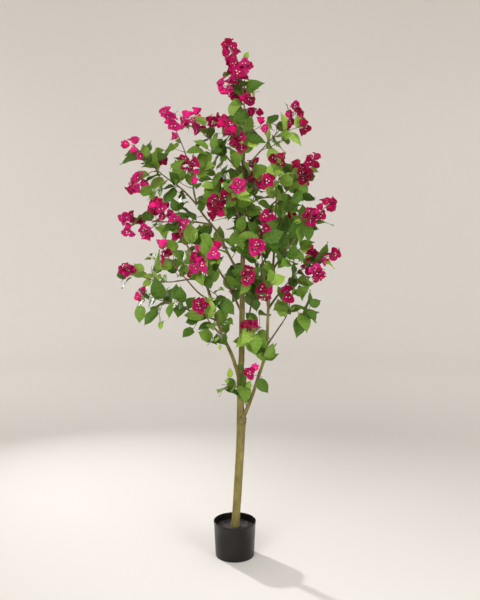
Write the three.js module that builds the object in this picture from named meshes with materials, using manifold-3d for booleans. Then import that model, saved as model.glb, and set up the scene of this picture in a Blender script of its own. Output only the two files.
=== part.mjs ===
// Artificial bougainvillea tree in its nursery pot. Millimetres, +Z up.
// The origin is the centre of the pot's flat underside; +X is the tree's right, -Y its front.
// Pot, fill, trunk and boughs are solids of their own. Each mass of foliage is one solid: twigs
// that branch from one stem by a seeded rule, with leaves and blossom fused on, in its own space.

import * as THREE from 'three';
import { mergeVertices } from 'three/addons/utils/BufferGeometryUtils.js';
import Module from 'manifold-3d';

const wasm = await Module();
wasm.setup();

const UP = new THREE.Vector3(0, 0, 1);
const GOLDEN_ANGLE = Math.PI * (3 - Math.sqrt(5));
const GAP = 0.3;                  // between solids that touch on the real tree

// Pot and fill
const POT_HEIGHT = 131;
const POT_BASE_RADIUS = 70;
const POT_RIM_RADIUS = 76.5;
const POT_FOOT_BEVEL = 2.5;
const POT_FLOOR = 3;
const POT_WALL = 2;
const POT_BAND_HEIGHT = 9;        // the rim's slightly thicker band
const POT_BAND_PROUD = 0.8;
const POT_SEGMENTS = 28;
const FILL_TOP = 108;             // the cement-like fill stops 23 mm below the rim

// Trunk: height, lean to the right, radius; a flared foot, a knotty fork, then a slimmer leader
const TRUNK = [
  [FILL_TOP + GAP, 1, 19.5],
  [124, 2.5, 15.8],
  [190, 7, 14.6],
  [336, 16, 15],
  [450, 21.5, 15.6],
  [509, 23, 17],
  [560, 20, 12.4],
  [676, 20, 11.6],
  [737, 24, 10.6],
  [900, 26, 9.6],
  [1116, 29, 7.6],
  [1288, 31, 5.8],
  [1422, 31, 4.6],
  [1590, 33, 3],
];
const TRUNK_SIDES = 16;

// Boughs: name, the limb that carries it, radius at foot and tip, and the way it takes from that
// limb's middle to the tip where its foliage begins
const BOUGHS = [
  ['bough_right', 'trunk', 7.2, 3.4,
    [[23, 0, 496], [52, -18, 573], [82, -28, 665], [110, -38, 774], [117, -42, 924], [134, -42, 1090],
      [141, -44, 1275]]],
  ['bough_right_side', 'bough_right', 3.4, 2.4, [[111, -38, 782], [140, -32, 824], [172, -30, 872]]],
  ['bough_right_mid', 'bough_right', 3.8, 2.6, [[117, -42, 915], [160, -14, 970], [205, 8, 1018]]],
  ['bough_right_inner', 'bough_right', 5, 2.8, [[117, -42, 925], [106, -46, 976], [94, -68, 1085]]],
  ['bough_right_outer', 'bough_right', 3.8, 2.6, [[129, -42, 1045], [170, -30, 1105], [212, -26, 1160]]],
  ['bough_left', 'trunk', 7, 3.2,
    [[19, 0, 652], [-9, -22, 743], [-51, -50, 847], [-90, -72, 985], [-116, -80, 1057],
      [-178, -85, 1168]]],
  ['bough_left_low', 'bough_left', 3.2, 2.4, [[-60, -55, 874], [-104, -86, 897], [-190, -94, 930]]],
  ['bough_left_side', 'bough_left', 3.4, 2.4, [[-93, -73, 995], [-136, -48, 1016], [-215, -12, 1003]]],
  ['bough_left_front', 'bough_left', 3.2, 2.4, [[-80, -67, 945], [-120, -100, 976], [-168, -122, 1034]]],
  ['bough_front_left', 'bough_left', 3, 2.4, [[-84, -69, 965], [-92, -105, 1005], [-95, -140, 1042]]],
  ['bough_low_left', 'bough_left', 3, 2.4, [[-38, -41, 812], [-56, -78, 838], [-72, -108, 862]]],
  ['bough_left_upper', 'trunk', 4.6, 3,
    [[27, 0, 1010], [-18, 32, 1088], [-60, 46, 1170], [-128, 44, 1262], [-150, 24, 1375]]],
  ['bough_left_outer', 'bough_left_upper', 3.4, 2.6, [[-126, 44, 1260], [-176, 22, 1316], [-232, -4, 1360]]],
  ['bough_left_mid', 'bough_left_upper', 3.4, 2.6, [[-80, 46, 1197], [-140, 72, 1205], [-205, 84, 1204]]],
  ['bough_front', 'trunk', 3.8, 2.6, [[26, 0, 905], [30, -42, 950], [38, -92, 1000]]],
  ['bough_front_high', 'trunk', 3.6, 2.6, [[30, 0, 1150], [22, -50, 1205], [4, -98, 1262]]],
  ['bough_right_high', 'trunk', 4.4, 2.8, [[30, 0, 1170], [92, 30, 1232], [168, 52, 1300]]],
  ['bough_back_low', 'trunk', 4, 2.6, [[24, 0, 760], [42, 44, 830], [62, 96, 922]]],
  ['bough_back_left', 'trunk', 4.4, 2.8, [[26, 0, 890], [-20, 56, 975], [-96, 128, 1092]]],
  ['bough_back_right', 'trunk', 4.4, 2.8, [[27, 0, 950], [82, 66, 1030], [152, 134, 1138]]],
  ['bough_back', 'trunk', 4, 2.8, [[29, 0, 1090], [28, 66, 1170], [12, 132, 1262]]],
  ['bough_high_front', 'trunk', 3, 2.4, [[31, 0, 1345], [28, -24, 1388], [24, -48, 1424]]],
  ['bough_high_left', 'trunk', 3, 2.4, [[31, 0, 1352], [-4, 14, 1404], [-44, 34, 1448]]],
  ['bough_high_right', 'trunk', 3, 2.4, [[31, 0, 1376], [62, 6, 1420], [98, 10, 1460]]],
  ['bough_high_back', 'trunk', 3, 2.4, [[31, 0, 1390], [34, 30, 1440], [32, 62, 1480]]],
];
const BOUGH_SIDES = 6;
const BOUGH_STEP = 70;            // length of limb between two rings

// Foliage: name, the limb it grows on (the trunk at a height and bearing, or a bough's tip), and
// the places that its blossom twigs reach, the stem's own first
const FOLIAGE = [
  ['foliage_top', { tip: 'trunk' },
    [[-16, -16, 1790], [40, -10, 1730], [-12, 16, 1738], [6, -34, 1698], [-32, -18, 1662], [48, -22, 1628],
      [14, 44, 1650]]],
  ['foliage_high_front', { tip: 'bough_high_front' }, [[10, -112, 1500], [-24, -92, 1532], [88, -84, 1530]]],
  ['foliage_high_left', { tip: 'bough_high_left' }, [[-166, 84, 1562], [-78, 12, 1546]]],
  ['foliage_high_right', { tip: 'bough_high_right' }, [[212, 30, 1582], [232, -14, 1532], [108, 40, 1548]]],
  ['foliage_high_back', { tip: 'bough_high_back' }, [[36, 158, 1572], [-40, 118, 1560]]],
  ['foliage_right_upper', { tip: 'bough_right' }, [[168, -72, 1446], [98, -150, 1346]]],
  ['foliage_right_high', { tip: 'bough_right_high' }, [[270, 64, 1412], [236, 122, 1350], [240, -10, 1366]]],
  ['foliage_right_outer', { tip: 'bough_right_outer' }, [[318, -44, 1270], [252, -112, 1232]]],
  ['foliage_right_mid', { tip: 'bough_right_mid' }, [[348, 34, 1094], [282, -78, 1040], [274, 90, 1092]]],
  ['foliage_right_low', { tip: 'bough_right_side' }, [[182, -84, 970], [238, -64, 892]]],
  ['foliage_front_right', { tip: 'bough_right_inner' }, [[112, -150, 1236], [72, -206, 1140]]],
  ['foliage_front', { tip: 'bough_front' }, [[42, -234, 1050], [104, -176, 984]]],
  ['foliage_front_high', { tip: 'bough_front_high' }, [[14, -196, 1340], [-62, -206, 1280]]],
  ['foliage_front_left', { tip: 'bough_front_left' }, [[-120, -214, 1086], [-62, -222, 1130]]],
  ['foliage_left_shoulder', { tip: 'bough_left' }, [[-254, -112, 1264], [-176, -178, 1222]]],
  ['foliage_left_front', { tip: 'bough_left_front' }, [[-258, -134, 1160], [-226, -160, 1104]]],
  ['foliage_left_side', { tip: 'bough_left_side' }, [[-376, -6, 1044], [-296, 66, 1040]]],
  ['foliage_left_low', { tip: 'bough_left_low' }, [[-312, -88, 968], [-250, -146, 924]]],
  ['foliage_low_left', { tip: 'bough_low_left' }, [[-112, -160, 944], [-62, -176, 868]]],
  ['foliage_left_high', { tip: 'bough_left_upper' }, [[-222, -46, 1566], [-148, -104, 1400]]],
  ['foliage_left_outer', { tip: 'bough_left_outer' },
    [[-342, -46, 1470], [-340, -24, 1336], [-262, 76, 1416]]],
  ['foliage_left_mid', { tip: 'bough_left_mid' }, [[-376, 48, 1222], [-306, 20, 1172], [-282, 144, 1262]]],
  ['foliage_low_front', { trunk: 590, bearing: 262 }, [[58, -76, 700], [-46, -70, 652]]],
  ['foliage_low_right', { trunk: 775, bearing: 318 }, [[52, -124, 870], [96, 14, 840]]],
  ['foliage_back_low', { tip: 'bough_back_low' }, [[122, 196, 1020], [8, 176, 950]]],
  ['foliage_back_left', { tip: 'bough_back_left' }, [[-206, 214, 1150], [-150, 176, 1016]]],
  ['foliage_back_right', { tip: 'bough_back_right' }, [[216, 228, 1216], [150, 262, 1150]]],
  ['foliage_back', { tip: 'bough_back' }, [[-30, 262, 1334], [74, 196, 1402]]],
  ['foliage_inner_left', { trunk: 1240, bearing: 176 }, [[-52, 10, 1328]]],
  ['foliage_inner_right', { trunk: 1232, bearing: 340 }, [[70, -2, 1352]]],
  ['foliage_inner_back', { trunk: 1110, bearing: 66 }, [[72, 100, 1228]]],
];

// Twigs, leaves and blossom
const STEM_RADII = [2.2, 1.4];    // at root and tip
const TWIG_RADII = [1.8, 1.4];
const SIDE_TWIG_RADII = [1.5, 1.1];
const TWIG_SIDES = 3;
const TWIG_STEP = 62;             // length of twig between two rings
const TWIG_BEND = 0.45;           // how far a twig follows its first way before it bends, of its span
const FOOT_SHARE = 0.35;          // how far a space's middle lies back to its stem's foot
const ROOM_BETWEEN_MASSES = 1.5;  // each mass stays this far inside its own space
const REACH_PAST_TIPS = 52;
const LIMB_CLEARANCE = 2;
const SUNK_ROOT = 0.35;           // of a twig's first stretch, which may lie in what carries it
const FORKS = [0.1, 0.7];         // where the stem gives off its flowering twigs
const SIDE_TWIG_LENGTH = [46, 78];
const SIDE_TWIG_STEP = 66;        // along the twig that carries them
const SIDE_TWIG_BACK = 0.4;       // of a step, that each stands back from the step's end
const SIDE_TWIG_SPREAD = { outward: 0.8, onward: 0.6 };
const LEAF_LENGTH = [62, 90];
const LEAF_WIDTH = 0.68;          // of its length
const LEAF_WIDEST = 0.42;         // of its length, from the root
const LEAF_THICKNESS = 2.6;
const LEAF_STEP = 20;             // along a twig
const LAST_LEAF = 0.94;           // of the way along its twig
const LEAF_SPREAD = { outward: 0.85, lastOutward: 0.25, onward: 0.6, downward: 0.5 };
const LEAF_SWAY = 0.5;
const LEAF_FACE = { up: 0.6, outward: 1.2 };
const LEAF_ROLL = 0.6;            // either way about its midrib
const LEAF_ROOM = 35;             // least distance between two leaves' middles
const FLORETS_PER_TIP = 2;
const FLORET_RADIUS = [19, 24];
const FLORET_STALK = [13, 20];
const FLORET_ONWARD = [0.5, 1.1]; // how far a stalk points on along its twig, for each part outward
const FLORET_SPACING = 9;         // along the twig's end
const FLORET_SINK = 2;            // the first floret's root, back from the end
const FLORET_NOTCH = 0.66;        // of its radius, between two bracts
const BRACT_LIFT = 3;
const FIRST_SEED = 11;
const FINEST_DETAIL = 0.04;       // what fusing leaves that is finer than this is smoothed away

function vec(point) {
  return new THREE.Vector3(...point);
}

function between(low, high, share) {
  return low + (high - low) * share;
}

// The same numbers in the same order for the same seed
function seeded(seed) {
  let state = Math.imul(seed, 2654435761) >>> 0;
  return () => {
    state = (Math.imul(state, 1664525) + 1013904223) >>> 0;
    return state / 4294967296;
  };
}

// ---------- solids from three.js geometry ----------

function toManifold(geometry) {
  geometry.deleteAttribute('normal');
  geometry.deleteAttribute('uv');
  const merged = mergeVertices(geometry, 1e-4);
  return new wasm.Manifold(new wasm.Mesh({
    numProp: 3,
    vertProperties: merged.attributes.position.array,
    triVerts: Uint32Array.from(merged.index.array),
  }));
}

function toGeometry(manifold) {
  const mesh = manifold.getMesh();
  const geometry = new THREE.BufferGeometry();
  geometry.setAttribute('position', new THREE.BufferAttribute(mesh.vertProperties, 3));
  geometry.setIndex(new THREE.BufferAttribute(mesh.triVerts, 1));
  return geometry;
}

function largestPart(manifold) {
  return manifold.decompose().sort((a, b) => b.volume() - a.volume())[0];
}

// A round limb of changing radius along a curve: a cylinder whose rings are carried to the curve,
// square to it, or level where the limb is cut flat
function limbGeometry(curve, radiusAt, sides, steps, level = false) {
  const geometry = new THREE.CylinderGeometry(1, 1, 1, sides, steps);
  const points = [];
  const sideways = [];
  const across = [];
  for (let ring = 0; ring <= steps; ring += 1) {
    const tangent = level ? UP.clone() : curve.getTangent(ring / steps);
    const last = ring ? sideways[ring - 1] : new THREE.Vector3(1, 0.01, 0);
    const side = last.clone().addScaledVector(tangent, -last.dot(tangent)).normalize();
    points.push(curve.getPoint(ring / steps));
    sideways.push(side);
    across.push(tangent.cross(side));
  }
  const position = geometry.attributes.position;
  for (let i = 0; i < position.count; i += 1) {
    const share = position.getY(i) + 0.5;
    const ring = Math.round(share * steps);
    const radius = radiusAt(ring / steps);
    const place = points[ring].clone()
      .addScaledVector(sideways[ring], position.getZ(i) * radius)
      .addScaledVector(across[ring], position.getX(i) * radius);
    position.setXYZ(i, place.x, place.y, place.z);
  }
  return geometry;
}

// An ovate leaf: an octahedron drawn out from root to tip, widest near the root
function leafGeometry(leaf) {
  const geometry = new THREE.OctahedronGeometry(1, 0);
  const across = leaf.normal.clone().cross(leaf.along);
  const position = geometry.attributes.position;
  for (let i = 0; i < position.count; i += 1) {
    const end = position.getX(i);
    const share = end === 0 ? LEAF_WIDEST : (end + 1) / 2;
    const place = leaf.root.clone()
      .addScaledVector(leaf.along, leaf.length * share)
      .addScaledVector(across, position.getY(i) * leaf.length * LEAF_WIDTH / 2)
      .addScaledVector(leaf.normal, position.getZ(i) * LEAF_THICKNESS / 2);
    position.setXYZ(i, place.x, place.y, place.z);
  }
  return geometry;
}

// A floret of three bracts on its stalk: a slim cone whose rim is drawn out into a star
function floretGeometry(floret) {
  const rimPoints = 6;
  const geometry = new THREE.ConeGeometry(1, 1, rimPoints);
  const side = anySideOf(floret.along, floret.turn);
  const across = floret.along.clone().cross(side);
  const face = floret.root.clone().addScaledVector(floret.along, floret.stalk);
  const position = geometry.attributes.position;
  for (let i = 0; i < position.count; i += 1) {
    const rimX = position.getX(i);
    const rimZ = position.getZ(i);
    const onRim = Math.hypot(rimX, rimZ) > 0.5;
    const angle = Math.atan2(rimZ, rimX);
    const tip = Math.round(angle / (Math.PI / 3)) % 2 === 0;
    const reach = onRim ? floret.radius * (tip ? 1 : FLORET_NOTCH) : 0;
    const middle = position.getY(i) > 0 ? -floret.stalk : -BRACT_LIFT / 2;
    const lift = onRim ? (tip ? BRACT_LIFT : 0) : middle;
    const place = face.clone()
      .addScaledVector(side, Math.cos(angle) * reach)
      .addScaledVector(across, Math.sin(angle) * reach)
      .addScaledVector(floret.along, lift);
    position.setXYZ(i, place.x, place.y, place.z);
  }
  return geometry;
}

function anySideOf(along, turn) {
  const level = new THREE.Vector3().crossVectors(along, UP);
  const side = level.lengthSq() < 1e-6 ? new THREE.Vector3(1, 0, 0) : level.normalize();
  return side.applyAxisAngle(along, turn);
}

// ---------- limbs ----------

function limb(name, curve, radiusAt, sides, steps) {
  const lines = [];
  for (let step = 0; step <= steps; step += 1) {
    lines.push({ at: curve.getPoint(step / steps), radius: radiusAt(step / steps) });
  }
  return { name, curve, radiusAt, sides, steps, lines };
}

function trunkLimb() {
  const curve = new THREE.CatmullRomCurve3(TRUNK.map(([z, x]) => new THREE.Vector3(x, 0, z)), false,
    'catmullrom', 0.5);
  const radiusAt = (share) => {
    const station = Math.min(share * (TRUNK.length - 1), TRUNK.length - 1.000001);
    const lower = Math.floor(station);
    return between(TRUNK[lower][2], TRUNK[lower + 1][2], station - lower);
  };
  return limb('trunk', curve, radiusAt, TRUNK_SIDES, TRUNK.length - 1);
}

function boughLimb([name, carrier, footRadius, tipRadius, way]) {
  const places = way.map(vec);
  const curve = new THREE.CatmullRomCurve3(places, false, 'catmullrom', 0.5);
  const length = places.slice(1).reduce((sum, place, i) => sum + place.distanceTo(places[i]), 0);
  const steps = Math.max(3, Math.round(length / BOUGH_STEP));
  const made = limb(name, curve, (share) => between(footRadius, tipRadius, share), BOUGH_SIDES, steps);
  return { ...made, carrier };
}

// The limb without the part inside its carrier, a hair's breadth clear of the carrier's skin
function limbSolid(piece, limbs) {
  const level = !piece.carrier;
  const solid = toManifold(limbGeometry(piece.curve, piece.radiusAt, piece.sides, piece.steps, level));
  if (level) return solid;
  const carrier = limbs.get(piece.carrier);
  const sleeve = toManifold(limbGeometry(carrier.curve, (share) => carrier.radiusAt(share) + GAP,
    carrier.sides, carrier.steps, !carrier.carrier));
  return largestPart(solid.subtract(sleeve));
}

// ---------- foliage ----------

// Where a mass's stem starts, and which way it sets off
function footOf(place, limbs) {
  if (place.tip) {
    const carrier = limbs.get(place.tip);
    const setOff = carrier.curve.getTangent(1);
    return { foot: carrier.curve.getPoint(1).addScaledVector(setOff, GAP), setOff };
  }
  const trunk = limbs.get('trunk');
  let share = 0;
  while (trunk.curve.getPoint(share).z < place.trunk) share += 0.0005;
  const angle = THREE.MathUtils.degToRad(place.bearing);
  const out = new THREE.Vector3(Math.cos(angle), Math.sin(angle), 0);
  const setOff = out.clone().add(UP).normalize();
  const axis = trunk.curve.getPoint(share);
  const offset = trunk.radiusAt(share) + GAP + STEM_RADII[0] * Math.SQRT1_2;
  return { foot: axis.addScaledVector(out, offset), setOff };
}

// The space of a mass: nearer its own middle than any other mass's, and within its reach
function spaceOf(foot, tips) {
  const middle = foot.clone().multiplyScalar(FOOT_SHARE);
  tips.forEach((tip) => middle.addScaledVector(tip, (1 - FOOT_SHARE) / tips.length));
  const reach = Math.max(foot.distanceTo(middle), ...tips.map((tip) => tip.distanceTo(middle)));
  return { middle, reach: reach + REACH_PAST_TIPS };
}

function inSpace(point, own, spaces, room) {
  if (point.distanceTo(own.middle) > own.reach - room) return false;
  return spaces.every((other) => {
    if (other === own) return true;
    const apart = own.middle.distanceTo(other.middle);
    const lead = point.distanceToSquared(other.middle) - point.distanceToSquared(own.middle);
    return lead / (2 * apart) > room + ROOM_BETWEEN_MASSES;
  });
}

// Least distance between two straight lines from a to b and from c to d
function lineDistance(a, b, c, d) {
  const u = b.clone().sub(a);
  const v = d.clone().sub(c);
  const w = a.clone().sub(c);
  const uu = u.dot(u);
  const uv = u.dot(v);
  const vv = v.dot(v);
  const det = uu * vv - uv * uv;
  const clamp = (value) => Math.min(1, Math.max(0, value));
  let s = det > 1e-9 ? clamp((uv * v.dot(w) - vv * u.dot(w)) / det) : 0;
  const t = clamp((uv * s + v.dot(w)) / vv);
  s = clamp((uv * t - u.dot(w)) / uu);
  return a.clone().addScaledVector(u, s).distanceTo(c.clone().addScaledVector(v, t));
}

// Whether the line from c to d passes through the flat four-cornered blade
function pierces(c, d, corners) {
  const [root, left, tip, right] = corners;
  const ray = new THREE.Ray(c, d.clone().sub(c).normalize());
  const length = c.distanceTo(d);
  const hit = new THREE.Vector3();
  return [[root, left, tip], [root, tip, right]].some(([p, q, r]) =>
    ray.intersectTriangle(p, q, r, false, hit) !== null && hit.distanceTo(c) <= length);
}

function nearLimb(a, b, radius, limbs, skip) {
  for (const piece of limbs.values()) {
    const last = piece.lines.length - 1;
    for (let i = 0; i < last; i += 1) {
      if (piece.name === skip && i === last - 1) continue;
      const low = piece.lines[i];
      const high = piece.lines[i + 1];
      const room = Math.max(low.radius, high.radius) + radius + LIMB_CLEARANCE;
      if (lineDistance(a, b, low.at, high.at) < room) return true;
    }
  }
  return false;
}

function leafCorners(leaf) {
  const across = leaf.normal.clone().cross(leaf.along);
  const belly = leaf.root.clone().addScaledVector(leaf.along, leaf.length * LEAF_WIDEST);
  const half = leaf.length * LEAF_WIDTH / 2;
  return [
    leaf.root.clone(),
    belly.clone().addScaledVector(across, half),
    leaf.root.clone().addScaledVector(leaf.along, leaf.length),
    belly.clone().addScaledVector(across, -half),
  ];
}

function floretCorners(floret) {
  const face = floret.root.clone().addScaledVector(floret.along, floret.stalk);
  const side = anySideOf(floret.along, floret.turn);
  const across = floret.along.clone().cross(side);
  return [0, 1, 2, 3].map((corner) => {
    const angle = (corner * Math.PI) / 2;
    return face.clone()
      .addScaledVector(side, Math.cos(angle) * floret.radius)
      .addScaledVector(across, Math.sin(angle) * floret.radius);
  });
}

// Whether either blade's edge passes through the other blade
function bladesCross(first, second) {
  for (let i = 0; i < 4; i += 1) {
    const next = (i + 1) % 4;
    if (pierces(first[i], first[next], second) || pierces(second[i], second[next], first)) return true;
  }
  return false;
}

// A blade fits where it stays in its mass's space, clear of limbs, twigs and other blades
function bladeFits(corners, own, mass) {
  if (!corners.every((corner) => inSpace(corner, mass.space, mass.spaces, LEAF_THICKNESS))) return false;
  for (let i = 0; i < 4; i += 1) {
    if (nearLimb(corners[i], corners[(i + 1) % 4], 0, mass.limbs, null)) return false;
  }
  for (const piece of mass.limbs.values()) {
    for (let i = 0; i + 1 < piece.lines.length; i += 1) {
      if (pierces(piece.lines[i].at, piece.lines[i + 1].at, corners)) return false;
    }
  }
  for (const twig of mass.twigs) {
    if (twig === own) continue;
    for (let i = 0; i < twig.line.length - 1; i += 1) {
      if (pierces(twig.line[i], twig.line[i + 1], corners)) return false;
    }
  }
  return !mass.blades.some((other) => bladesCross(corners, other));
}

function addLeaf(mass, twig, root, setOff, draw) {
  const sway = new THREE.Vector3(draw() - 0.5, draw() - 0.5, draw() - 0.5);
  const length = between(...LEAF_LENGTH, draw());
  const roll = between(-LEAF_ROLL, LEAF_ROLL, draw());
  const way = setOff.clone().addScaledVector(sway, LEAF_SWAY).normalize();
  const outward = root.clone().sub(mass.limbs.get('trunk').curve.getPoint(1)).setZ(0).normalize();
  const face = UP.clone().multiplyScalar(LEAF_FACE.up).addScaledVector(outward, LEAF_FACE.outward);
  const normal = face.addScaledVector(way, -face.dot(way)).normalize().applyAxisAngle(way, roll);
  const leaf = { root: root.clone(), along: way, normal, length };
  const corners = leafCorners(leaf);
  const heart = corners[0].clone().lerp(corners[2], 0.5);
  if (mass.leaves.some((other) => other.heart.distanceTo(heart) < LEAF_ROOM)) return;
  if (!bladeFits(corners, twig, mass)) return;
  mass.leaves.push({ ...leaf, heart });
  mass.blades.push(corners);
}

// A twig sets off one way and bends to its tip
function makeTwig(from, setOff, to, radii, flowering) {
  const span = from.distanceTo(to);
  const bend = from.clone().addScaledVector(setOff, span * TWIG_BEND);
  const curve = new THREE.QuadraticBezierCurve3(from, bend, to);
  const steps = Math.max(1, Math.round(span / TWIG_STEP));
  const line = [];
  for (let i = 0; i <= steps; i += 1) line.push(curve.getPoint(i / steps));
  return { curve, radii, span, steps, line, flowering };
}

// A place on a twig, and the way that the twig goes there
function placeOn(twig, share) {
  const steps = twig.line.length - 1;
  const lower = Math.min(Math.floor(share * steps), steps - 1);
  const point = twig.line[lower].clone().lerp(twig.line[lower + 1], share * steps - lower);
  return { point, tangent: twig.line[lower + 1].clone().sub(twig.line[lower]).normalize() };
}

// A twig fits where it stays in its mass's space and clear of limbs, past its own root
function twigFits(twig, mass) {
  return twig.line.slice(1).every((next, i) => {
    const grown = i === 0 ? twig.line[0].clone().lerp(next, SUNK_ROOT) : twig.line[i];
    return inSpace(next, mass.space, mass.spaces, twig.radii[0])
      && !nearLimb(grown, next, twig.radii[0], mass.limbs, mass.carrier);
  });
}

// Side twigs stand round a twig at even steps, each turned on from the last
function addSideTwigs(mass, twig, draw) {
  const sides = Math.floor((twig.span + SIDE_TWIG_STEP / 4) / SIDE_TWIG_STEP);
  let turn = draw() * Math.PI * 2;
  for (let i = 1; i <= sides; i += 1) {
    const { point: root, tangent } = placeOn(twig, (i - SIDE_TWIG_BACK) / sides);
    const out = anySideOf(tangent, turn).multiplyScalar(SIDE_TWIG_SPREAD.outward)
      .addScaledVector(tangent, SIDE_TWIG_SPREAD.onward).normalize();
    const end = root.clone().addScaledVector(out, between(...SIDE_TWIG_LENGTH, draw()));
    const side = makeTwig(root, tangent, end, SIDE_TWIG_RADII, false);
    if (twigFits(side, mass)) mass.twigs.push(side);
    turn += GOLDEN_ANGLE;
  }
}

// Leaves stand round a twig at even steps, the last at its end
function addLeaves(mass, twig, draw) {
  const count = Math.max(1, Math.round(twig.span / LEAF_STEP));
  let turn = draw() * Math.PI * 2;
  for (let i = 1; i <= count; i += 1) {
    const { point, tangent } = placeOn(twig, (i / count) * LAST_LEAF);
    const atEnd = i === count && !twig.flowering;
    const way = anySideOf(tangent, turn)
      .multiplyScalar(atEnd ? LEAF_SPREAD.lastOutward : LEAF_SPREAD.outward)
      .addScaledVector(tangent, LEAF_SPREAD.onward)
      .addScaledVector(UP, -LEAF_SPREAD.downward);
    addLeaf(mass, twig, point, way, draw);
    turn += GOLDEN_ANGLE;
  }
}

// Florets stand round a flowering twig's end, one below another
function addBlossom(mass, twig, draw) {
  const { point: end, tangent } = placeOn(twig, 1);
  const start = draw() * Math.PI * 2;
  for (let i = 0; i < FLORETS_PER_TIP; i += 1) {
    const side = anySideOf(tangent, start + (i * Math.PI * 2) / FLORETS_PER_TIP);
    const floret = {
      root: end.clone().addScaledVector(tangent, -FLORET_SINK - i * FLORET_SPACING),
      along: side.addScaledVector(tangent, between(...FLORET_ONWARD, draw())).normalize(),
      turn: draw() * Math.PI,
      stalk: between(...FLORET_STALK, draw()),
      radius: between(...FLORET_RADIUS, draw()),
    };
    const corners = floretCorners(floret);
    if (bladeFits(corners, twig, mass)) {
      mass.florets.push(floret);
      mass.blades.push(corners);
    }
  }
}

function growMass([name, place, tips], index, spaces, limbs) {
  const draw = seeded(index + FIRST_SEED);
  const { foot, setOff: stemWay } = footOf(place, limbs);
  const carrier = place.tip ?? 'trunk';
  const [first, ...others] = tips.map(vec);
  const stem = makeTwig(foot, stemWay, first, STEM_RADII, true);
  const flowering = [stem];
  others.forEach((tip, i) => {
    const { point: root, tangent } = placeOn(stem, between(...FORKS, (i + 0.5) / others.length));
    const setOff = tangent.lerp(tip.clone().sub(root).normalize(), 0.5);
    flowering.push(makeTwig(root, setOff, tip, TWIG_RADII, true));
  });
  const mass = {
    name, carrier, limbs, spaces, space: spaces[index], twigs: [...flowering], leaves: [], florets: [],
    blades: [],
  };
  flowering.forEach((twig) => addSideTwigs(mass, twig, draw));
  flowering.forEach((twig) => addBlossom(mass, twig, draw));
  mass.twigs.forEach((twig) => addLeaves(mass, twig, draw));
  return mass;
}

function massSolid(mass) {
  const solids = mass.twigs.map(({ curve, radii, steps }) =>
    toManifold(limbGeometry(curve, (share) => between(...radii, share), TWIG_SIDES, steps)));
  mass.leaves.forEach((leaf) => solids.push(toManifold(leafGeometry(leaf))));
  mass.florets.forEach((floret) => solids.push(toManifold(floretGeometry(floret))));
  return largestPart(wasm.Manifold.union(solids).asOriginal().simplify(FINEST_DETAIL));
}

// ---------- pot and fill ----------

// The pot's side leans out evenly from base to rim
function potRadius(z) {
  return between(POT_BASE_RADIUS, POT_RIM_RADIUS, z / POT_HEIGHT);
}

function potGeometry() {
  const bandFoot = POT_HEIGHT - POT_BAND_HEIGHT;
  const profile = [
    [0, 0],
    [potRadius(0) - POT_FOOT_BEVEL, 0],
    [potRadius(POT_FOOT_BEVEL), POT_FOOT_BEVEL],
    [potRadius(bandFoot) - POT_BAND_PROUD, bandFoot - POT_BAND_PROUD],
    [potRadius(bandFoot), bandFoot],
    [potRadius(POT_HEIGHT), POT_HEIGHT],
    [potRadius(POT_HEIGHT) - POT_WALL, POT_HEIGHT],
    [potRadius(POT_FLOOR) - POT_WALL, POT_FLOOR],
    [0, POT_FLOOR],
  ];
  return latheUpright(profile);
}

function fillGeometry() {
  const inner = (z) => potRadius(z) - POT_WALL - GAP;
  const foot = POT_FLOOR + GAP;
  return latheUpright([[0, foot], [inner(foot), foot], [inner(FILL_TOP), FILL_TOP], [0, FILL_TOP]]);
}

function latheUpright(profile) {
  const points = profile.map(([radius, z]) => new THREE.Vector2(radius, z));
  return new THREE.LatheGeometry(points, POT_SEGMENTS).rotateX(Math.PI / 2);
}

// ---------- materials ----------

const plastic = { color: 0x151412, roughness: 0.45, metalness: 0 };
const cement = { color: 0x35322e, roughness: 0.95, metalness: 0 };
const bark = { color: 0x857a45, roughness: 0.7, metalness: 0 };
const leafCloth = { color: 0x3d6b2a, roughness: 0.55, metalness: 0 };

const tree = new THREE.Group();

function addNode(name, geometry, finish) {
  const mesh = new THREE.Mesh(geometry, new THREE.MeshStandardMaterial(finish));
  mesh.name = name;
  tree.add(mesh);
}

const limbs = new Map([trunkLimb(), ...BOUGHS.map(boughLimb)].map((piece) => [piece.name, piece]));
const spaces = FOLIAGE.map(([, place, tips]) => spaceOf(footOf(place, limbs).foot, tips.map(vec)));
const masses = FOLIAGE.map((row, index) => growMass(row, index, spaces, limbs));

addNode('pot', toGeometry(toManifold(potGeometry())), plastic);
addNode('fill', toGeometry(toManifold(fillGeometry())), cement);
limbs.forEach((piece) => addNode(piece.name, toGeometry(limbSolid(piece, limbs)), bark));
masses.forEach((mass) => addNode(mass.name, toGeometry(massSolid(mass)), leafCloth));

export default tree;
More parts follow.
